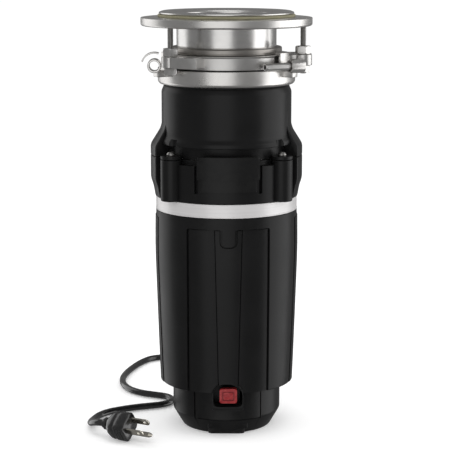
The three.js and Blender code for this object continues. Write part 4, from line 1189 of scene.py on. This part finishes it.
# lock ring with rolled ears, and the pin that sits in one of them
lockSettings = {
    "radius": 62.0, "wall": 2.2, "lip": 53.6, "low": 316.4, "high": 330.6,
    "ears": (208, 328, 88), "earCircle": 72.0, "earZ": 334.3, "tube": 6.2, "bore": 4.3, "length": 14.0,
    "lean": 242, "hookHigh": 345.6, "pinLength": 38,
}


def tubeAt(name, s, degrees, outline, sides=48, start=0, sweep=360):
    along = turnZ(degrees + s["lean"]) @ turnY(90)
    seat = shift(*around(s["earCircle"], degrees, s["earZ"]))
    return moved(lathe(name, outline, sides, start, sweep), along, seat)


def buildLockRing(s):
    out, wall, low, high = s["radius"], s["wall"], s["low"], s["high"]
    inner, half, reach = out - wall, s["length"] / 2, 4.0
    ring = lathe("lock_ring_steel", fillet([
        (s["lip"], low, 0.5), (out - 1.8, low, 0.5), (out, low + 2.0, 1.4), (out, high, 0.6),
        (inner, high, 0.6), (inner, low + 4.4, 2.0), (out - 5, low + wall, 1.0),
        (s["lip"], low + wall, 0.5)]), 160)
    hookHigh, hookLow = s["hookHigh"], s["hookHigh"] - 1.8
    hookOutline = fillet([
        (inner + 0.1, high - 1), (out - 0.1, high - 1), (out - 0.1, hookHigh, 0.8),
        (inner - reach, hookHigh, 0.4), (inner - reach, hookLow, 0.4), (inner + 0.1, hookLow, 0.4)])
    for degrees in s["ears"]:
        tube = tubeAt("ear", s, degrees, ringSection(s["bore"], s["tube"], -half, half, 0.5, 0.8))
        web = block("web", s["earCircle"] - out + 3, 9.0, 6.0, 0.8)
        web = moved(web, shift((s["earCircle"] + out - 3) / 2 - 0.8, 0, high - 3.4), turnZ(degrees))
        web = carve(web, tubeAt("bore", s, degrees, ringSection(0, s["tube"] - 0.3, -12, 12)))
        ring = unite(ring, web, tube, lathe("hook", hookOutline, 160, degrees - 8, 16))
    curl = tubeAt("curl", s, s["ears"][0], ringSection(10.7, 12.1, -4.5, 4.5, 0.4, 0.4), 72, 108, 92)
    return combine(ring, curl)


onShow(buildLockRing(lockSettings), finishes["ringSteel"], "twist_lock", "brushed_steel", "lock_ring")
print("lock ring built")


# ear pin
def buildEarPin(s):
    # a slotted spring pin; its end shows in front of the ear
    half = s["pinLength"] / 2
    pin = lathe("spring_pin", fillet([
        (2.1, -half, 0.2), (3.0, -half), (3.4, -half + 0.7, 0.3), (3.4, half - 0.7, 0.3), (3.0, half),
        (2.1, half, 0.2)]), 40, 20, 334)
    return moved(pin, turnZ(s["ears"][1] + s["lean"] + 180) @ turnY(90), shift(*middle("ear_pin")))


onShow(buildEarPin(lockSettings), finishes["castZinc"], "twist_lock", "brushed_steel", "ear_pin")

# drain outlet, cord relief and joint screws
outletSettings = {"radius": 16.0, "bore": 13.4, "screwX": 18.8, "screwZ": 12.6}


def buildOutlet(s):
    low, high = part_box("discharge_outlet")
    start, end = low.y / mm, high.y / mm
    radius, bore = s["radius"], s["bore"]
    plate = prism("plate", plateOutline(-23, 23, -17, 17, 5, 5), 70.35, 73.75, 0.9)
    tube = lathe("drain_outlet", fillet([
        (bore, start), (radius, start, 0.5), (radius, 70), (radius + 1.6, 73.5), (radius, 76.5, 1),
        (radius, end - 3.2), (radius - 0.9, end - 2.8), (radius - 0.9, end, 0.7), (bore, end, 0.7)]), 96)
    tube = unite(tube, carve(plate, cylinder("bore", radius - 1, 60, 80, 96)))
    for side in (-1, 1):
        for turn in (-1, 1):
            screw = lathe("screw", fillet([(0, 73.2), (2.7, 73.2), (2.7, 74.9, 0.8), (0, 75.3)]), 24)
            screw = carve(screw, moved(block("slot", 4.2, 0.9, 1.2, 0), shift(0, 0, 75.3)))
            tube = unite(tube, moved(screw, shift(s["screwX"] * side, s["screwZ"] * turn, 0)))
    return moved(layAlongY(tube), shift(0, 0, jointSettings["outletZ"]))


def buildRelief(s):
    x, z = s["reliefX"], s["reliefZ"]
    outline = [(3.3, -4), (6.0, -4, 0.5), (6.0, 0.3), (8.9, 0.3, 0.6), (8.9, 2.3, 0.6), (6.7, 2.4)]
    for k in range(6):
        y = 4.6 + 3.2 * k
        r = 6.5 - 1.9 * k / 6
        outline += [(r, y, 0.3), (r - 1.1, y + 0.5, 0.2), (r - 1.1, y + 1.7, 0.2), (r - 0.3, y + 2.2, 0.3)]
    outline += [(4.3, 25.9, 0.4), (3.3, 25.9)]
    return moved(layAlongY(lathe("cord_relief", fillet(outline, True, 2), 48)), shift(x, 50.0, z))


def jointScrew(number):
    bottom, top = levels(f"joint_screw_{number}")
    centre = middle(f"joint_screw_{number}")
    head = top - 3.0
    screw = lathe(f"case_screw_{number}", fillet([
        (0, bottom), (1.4, bottom), (2.2, bottom + 1.6), (2.2, head - 0.4), (3.9, head, 0.2),
        (3.9, head + 1.2, 0.4), (2.6, top, 0.6), (0, top)]), 32)
    for turn in (0, 90):
        slot = block("slot", 4.6, 0.9, 2.4, 0)
        screw = carve(screw, moved(slot, shift(0, 0, top), turnZ(turn + 20 * number)))
    return moved(screw, shift(centre.x, centre.y, 0))


onShow(buildOutlet(outletSettings), finishes["satinPlastic"], "housing", "black_plastic", "discharge_outlet")
onShow(buildRelief(capSettings), finishes["sealRubber"], "housing", "black_rubber", "strain_relief")
for number in (1, 2, 3, 4):
    onShow(jointScrew(number), finishes["studSteel"], "housing", "dark_steel", f"joint_screw_{number}")


# plug with its blades
def onPlug(piece, s):
    return moved(piece, turnY(s["roll"]), shift(*s["point"]) @ turnZ(s["heading"] - 90))


def buildPlug(s):
    # moulded body: distance from the cord, half width, half height and squareness of each section
    sections = [
        (0.0, 4.2, 4.2, 2.0), (2.2, 4.8, 4.8, 2.0), (2.3, 5.6, 5.6, 2.0), (4.4, 5.6, 5.6, 2.0),
        (4.6, 5.0, 5.0, 2.0), (6.0, 6.6, 6.2, 2.2), (8.5, 9.2, 8.0, 2.8), (11.5, 10.7, 9.2, 3.6),
        (14.5, 11.1, 9.6, 4.2),
        (16.2, 10.5, 9.1, 4.4), (18.0, 11.2, 9.7, 4.6), (26.6, 11.3, 9.8, 5.0), (27.6, 11.0, 9.5, 5.0),
        (28.0, 10.2, 8.7, 5.0)]
    rows = []
    for y, wide, tall, square in sections:
        row = []
        for i in range(64):
            angle = 2 * math.pi * i / 64
            across, up = math.cos(angle), math.sin(angle)
            x = math.copysign(wide * abs(across) ** (2 / square), across)
            row.append((x, y, math.copysign(tall * abs(up) ** (2 / square), up)))
        rows.append(row)
    grips = []
    for side in (-1, 1):
        for k in range(3):
            grips.append(moved(block("grip", 2.0, 1.4, 15, 0.4), shift(side * 11.5, 19.0 + 2.8 * k, 0)))
    return onPlug(carve(skin("plug_moulding", rows), *grips), s)


def buildBlade(s, number, side):
    half, thick, start, end = 3.2, 1.5, 28.3, 45.3
    outline = fillet([(start, -half), (end, -half, 2.2), (end, half, 2.2), (start, half)])
    blade = prism(f"blade_{number}", outline, -thick / 2, thick / 2, 0.25)
    blade = carve(blade, moved(cylinder("eye", 1.5, -3, 3, 24), shift(end - 4.2, 0, 0)))
    upright = Matrix(((0, 0, 1, side * 6.35), (1, 0, 0, 0), (0, 1, 0, 2.4), (0, 0, 0, 1)))
    return onPlug(moved(blade, upright), s)


def buildGroundPin(s):
    start, end = 28.3, 48.3
    outline = fillet([(0, start), (2.4, start), (2.4, end - 3, 1), (1.2, end, 1), (0, end)])
    return onPlug(moved(layAlongY(lathe("earth_prong", outline, 40)), shift(0, 0, -7.0)), s)


prongs = [
    (buildBlade(plugSettings, 1, -1), "plug_blade_1"),
    (buildBlade(plugSettings, 2, 1), "plug_blade_2"),
    (buildGroundPin(plugSettings), "ground_pin"),
]
plugPieces = [onShow(buildPlug(plugSettings), finishes["jacket"], "housing", "black_rubber", "plug_body")]
for prong, node in prongs:
    plugPieces.append(onShow(prong, finishes["bladeNickel"], "housing", "nickel", node))
print("outlet, relief, screws and plug built")

# cord finish, its body, and the frame's cord parts hidden
curve.materials.append(finishes["jacket"])
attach(cord, "housing")
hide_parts("cord_lead", "cord_coil", "cord_run")

# inner parts keep their own mesh and get finishes
innerFinishes = {
    "chamber_liner": "flangeSteel", "turntable": "flangeSteel", "grind_ring": "castZinc",
    "turntable_nut": "castZinc", "impeller_1": "castZinc", "impeller_2": "castZinc",
    "chamber_base": "satinPlastic", "shaft_seal": "sealRubber", "overload_protector": "casePlastic",
    "upper_bearing": "ringSteel", "lower_bearing": "ringSteel", "shaft": "studSteel",
    "brush_1": "studSteel", "brush_2": "studSteel", "motor_can": "motorSteel", "magnet_1": "motorSteel",
    "magnet_2": "motorSteel", "armature": "copper", "commutator": "copper",
}
for node, finish in innerFinishes.items():
    for slot in nodes[node].material_slots:
        slot.material = finishes[finish]
print("inner parts finished:", len(innerFinishes))

# floor and light
floorMesh = bmesh.new()
bmesh.ops.create_grid(floorMesh, x_segments=24, y_segments=24, size=9)
bmesh.ops.translate(floorMesh, vec=(0, 6.5, -0.0002), verts=floorMesh.verts)
floor = finishMesh("floor", floorMesh)


def floorFinish():
    made, tree, shader = startMaterial("floorFinish", Roughness=0.9, Specular_IOR_Level=0.0)
    shade = noiseNode(tree, objectPlace(tree), 3.0, 2.0)
    pale = mixColour(tree, shade, (0.93, 0.93, 0.93), (0.95, 0.95, 0.95))
    link(tree, pale, shader.inputs["Base Color"])
    link(tree, pale, shader.inputs["Emission Color"])
    shader.inputs["Emission Strength"].default_value = 0.2
    return made


floor.data.materials.append(floorFinish())
floor.visible_glossy = False

lightSettings = {
    # azimuth from the front, height of the middle, distance, width, height, radiance
    "front": (-10, 0.5, 2.0, 1.6, 2.6, 0.8),
    "right": (93, 0.3, 1.6, 1.7, 2.4, 1.5),
    "left": (-124, 0.3, 1.6, 1.2, 2.4, 1.0),
    "top": (0, 1.9, 0.0, 1.0, 1.0, 1.2),
}
for name, (azimuth, height, distance, width, tall, radiance) in lightSettings.items():
    light = bpy.data.lights.new(name, "AREA")
    light.shape = "RECTANGLE"
    light.size = width
    light.size_y = tall
    light.energy = radiance * math.pi * width * tall
    lamp = bpy.data.objects.new(name, light)
    reach = math.radians(azimuth)
    lamp.location = (distance * math.sin(reach), -distance * math.cos(reach), height)
    aim = Vector((0, 0, 0.2)) - lamp.location
    aim.z = 0 if distance else aim.z
    lamp.rotation_euler = aim.to_track_quat("-Z", "Y").to_euler()
    bpy.context.scene.collection.objects.link(lamp)


def buildWorld():
    world = bpy.data.worlds.new("room")
    world.use_nodes = True
    tree = world.node_tree
    tree.nodes.clear()
    seen = tree.nodes.new("ShaderNodeLightPath")
    glossy = mathNode(tree, "MULTIPLY", seen.outputs["Is Glossy Ray"], 0.7)
    strength = mathNode(tree, "SUBTRACT", 0.9, glossy)
    strength = mathNode(tree, "MULTIPLY_ADD", seen.outputs["Is Camera Ray"], 0.2, strength)
    ground = tree.nodes.new("ShaderNodeBackground")
    link(tree, strength, ground.inputs["Strength"])
    out = tree.nodes.new("ShaderNodeOutputWorld")
    link(tree, ground.outputs[0], out.inputs["Surface"])
    ground.inputs["Color"].default_value = (1, 1, 1, 1)
    bpy.context.scene.world = world


buildWorld()
bpy.context.scene.view_settings.view_transform = "Standard"
print("floor and light set")
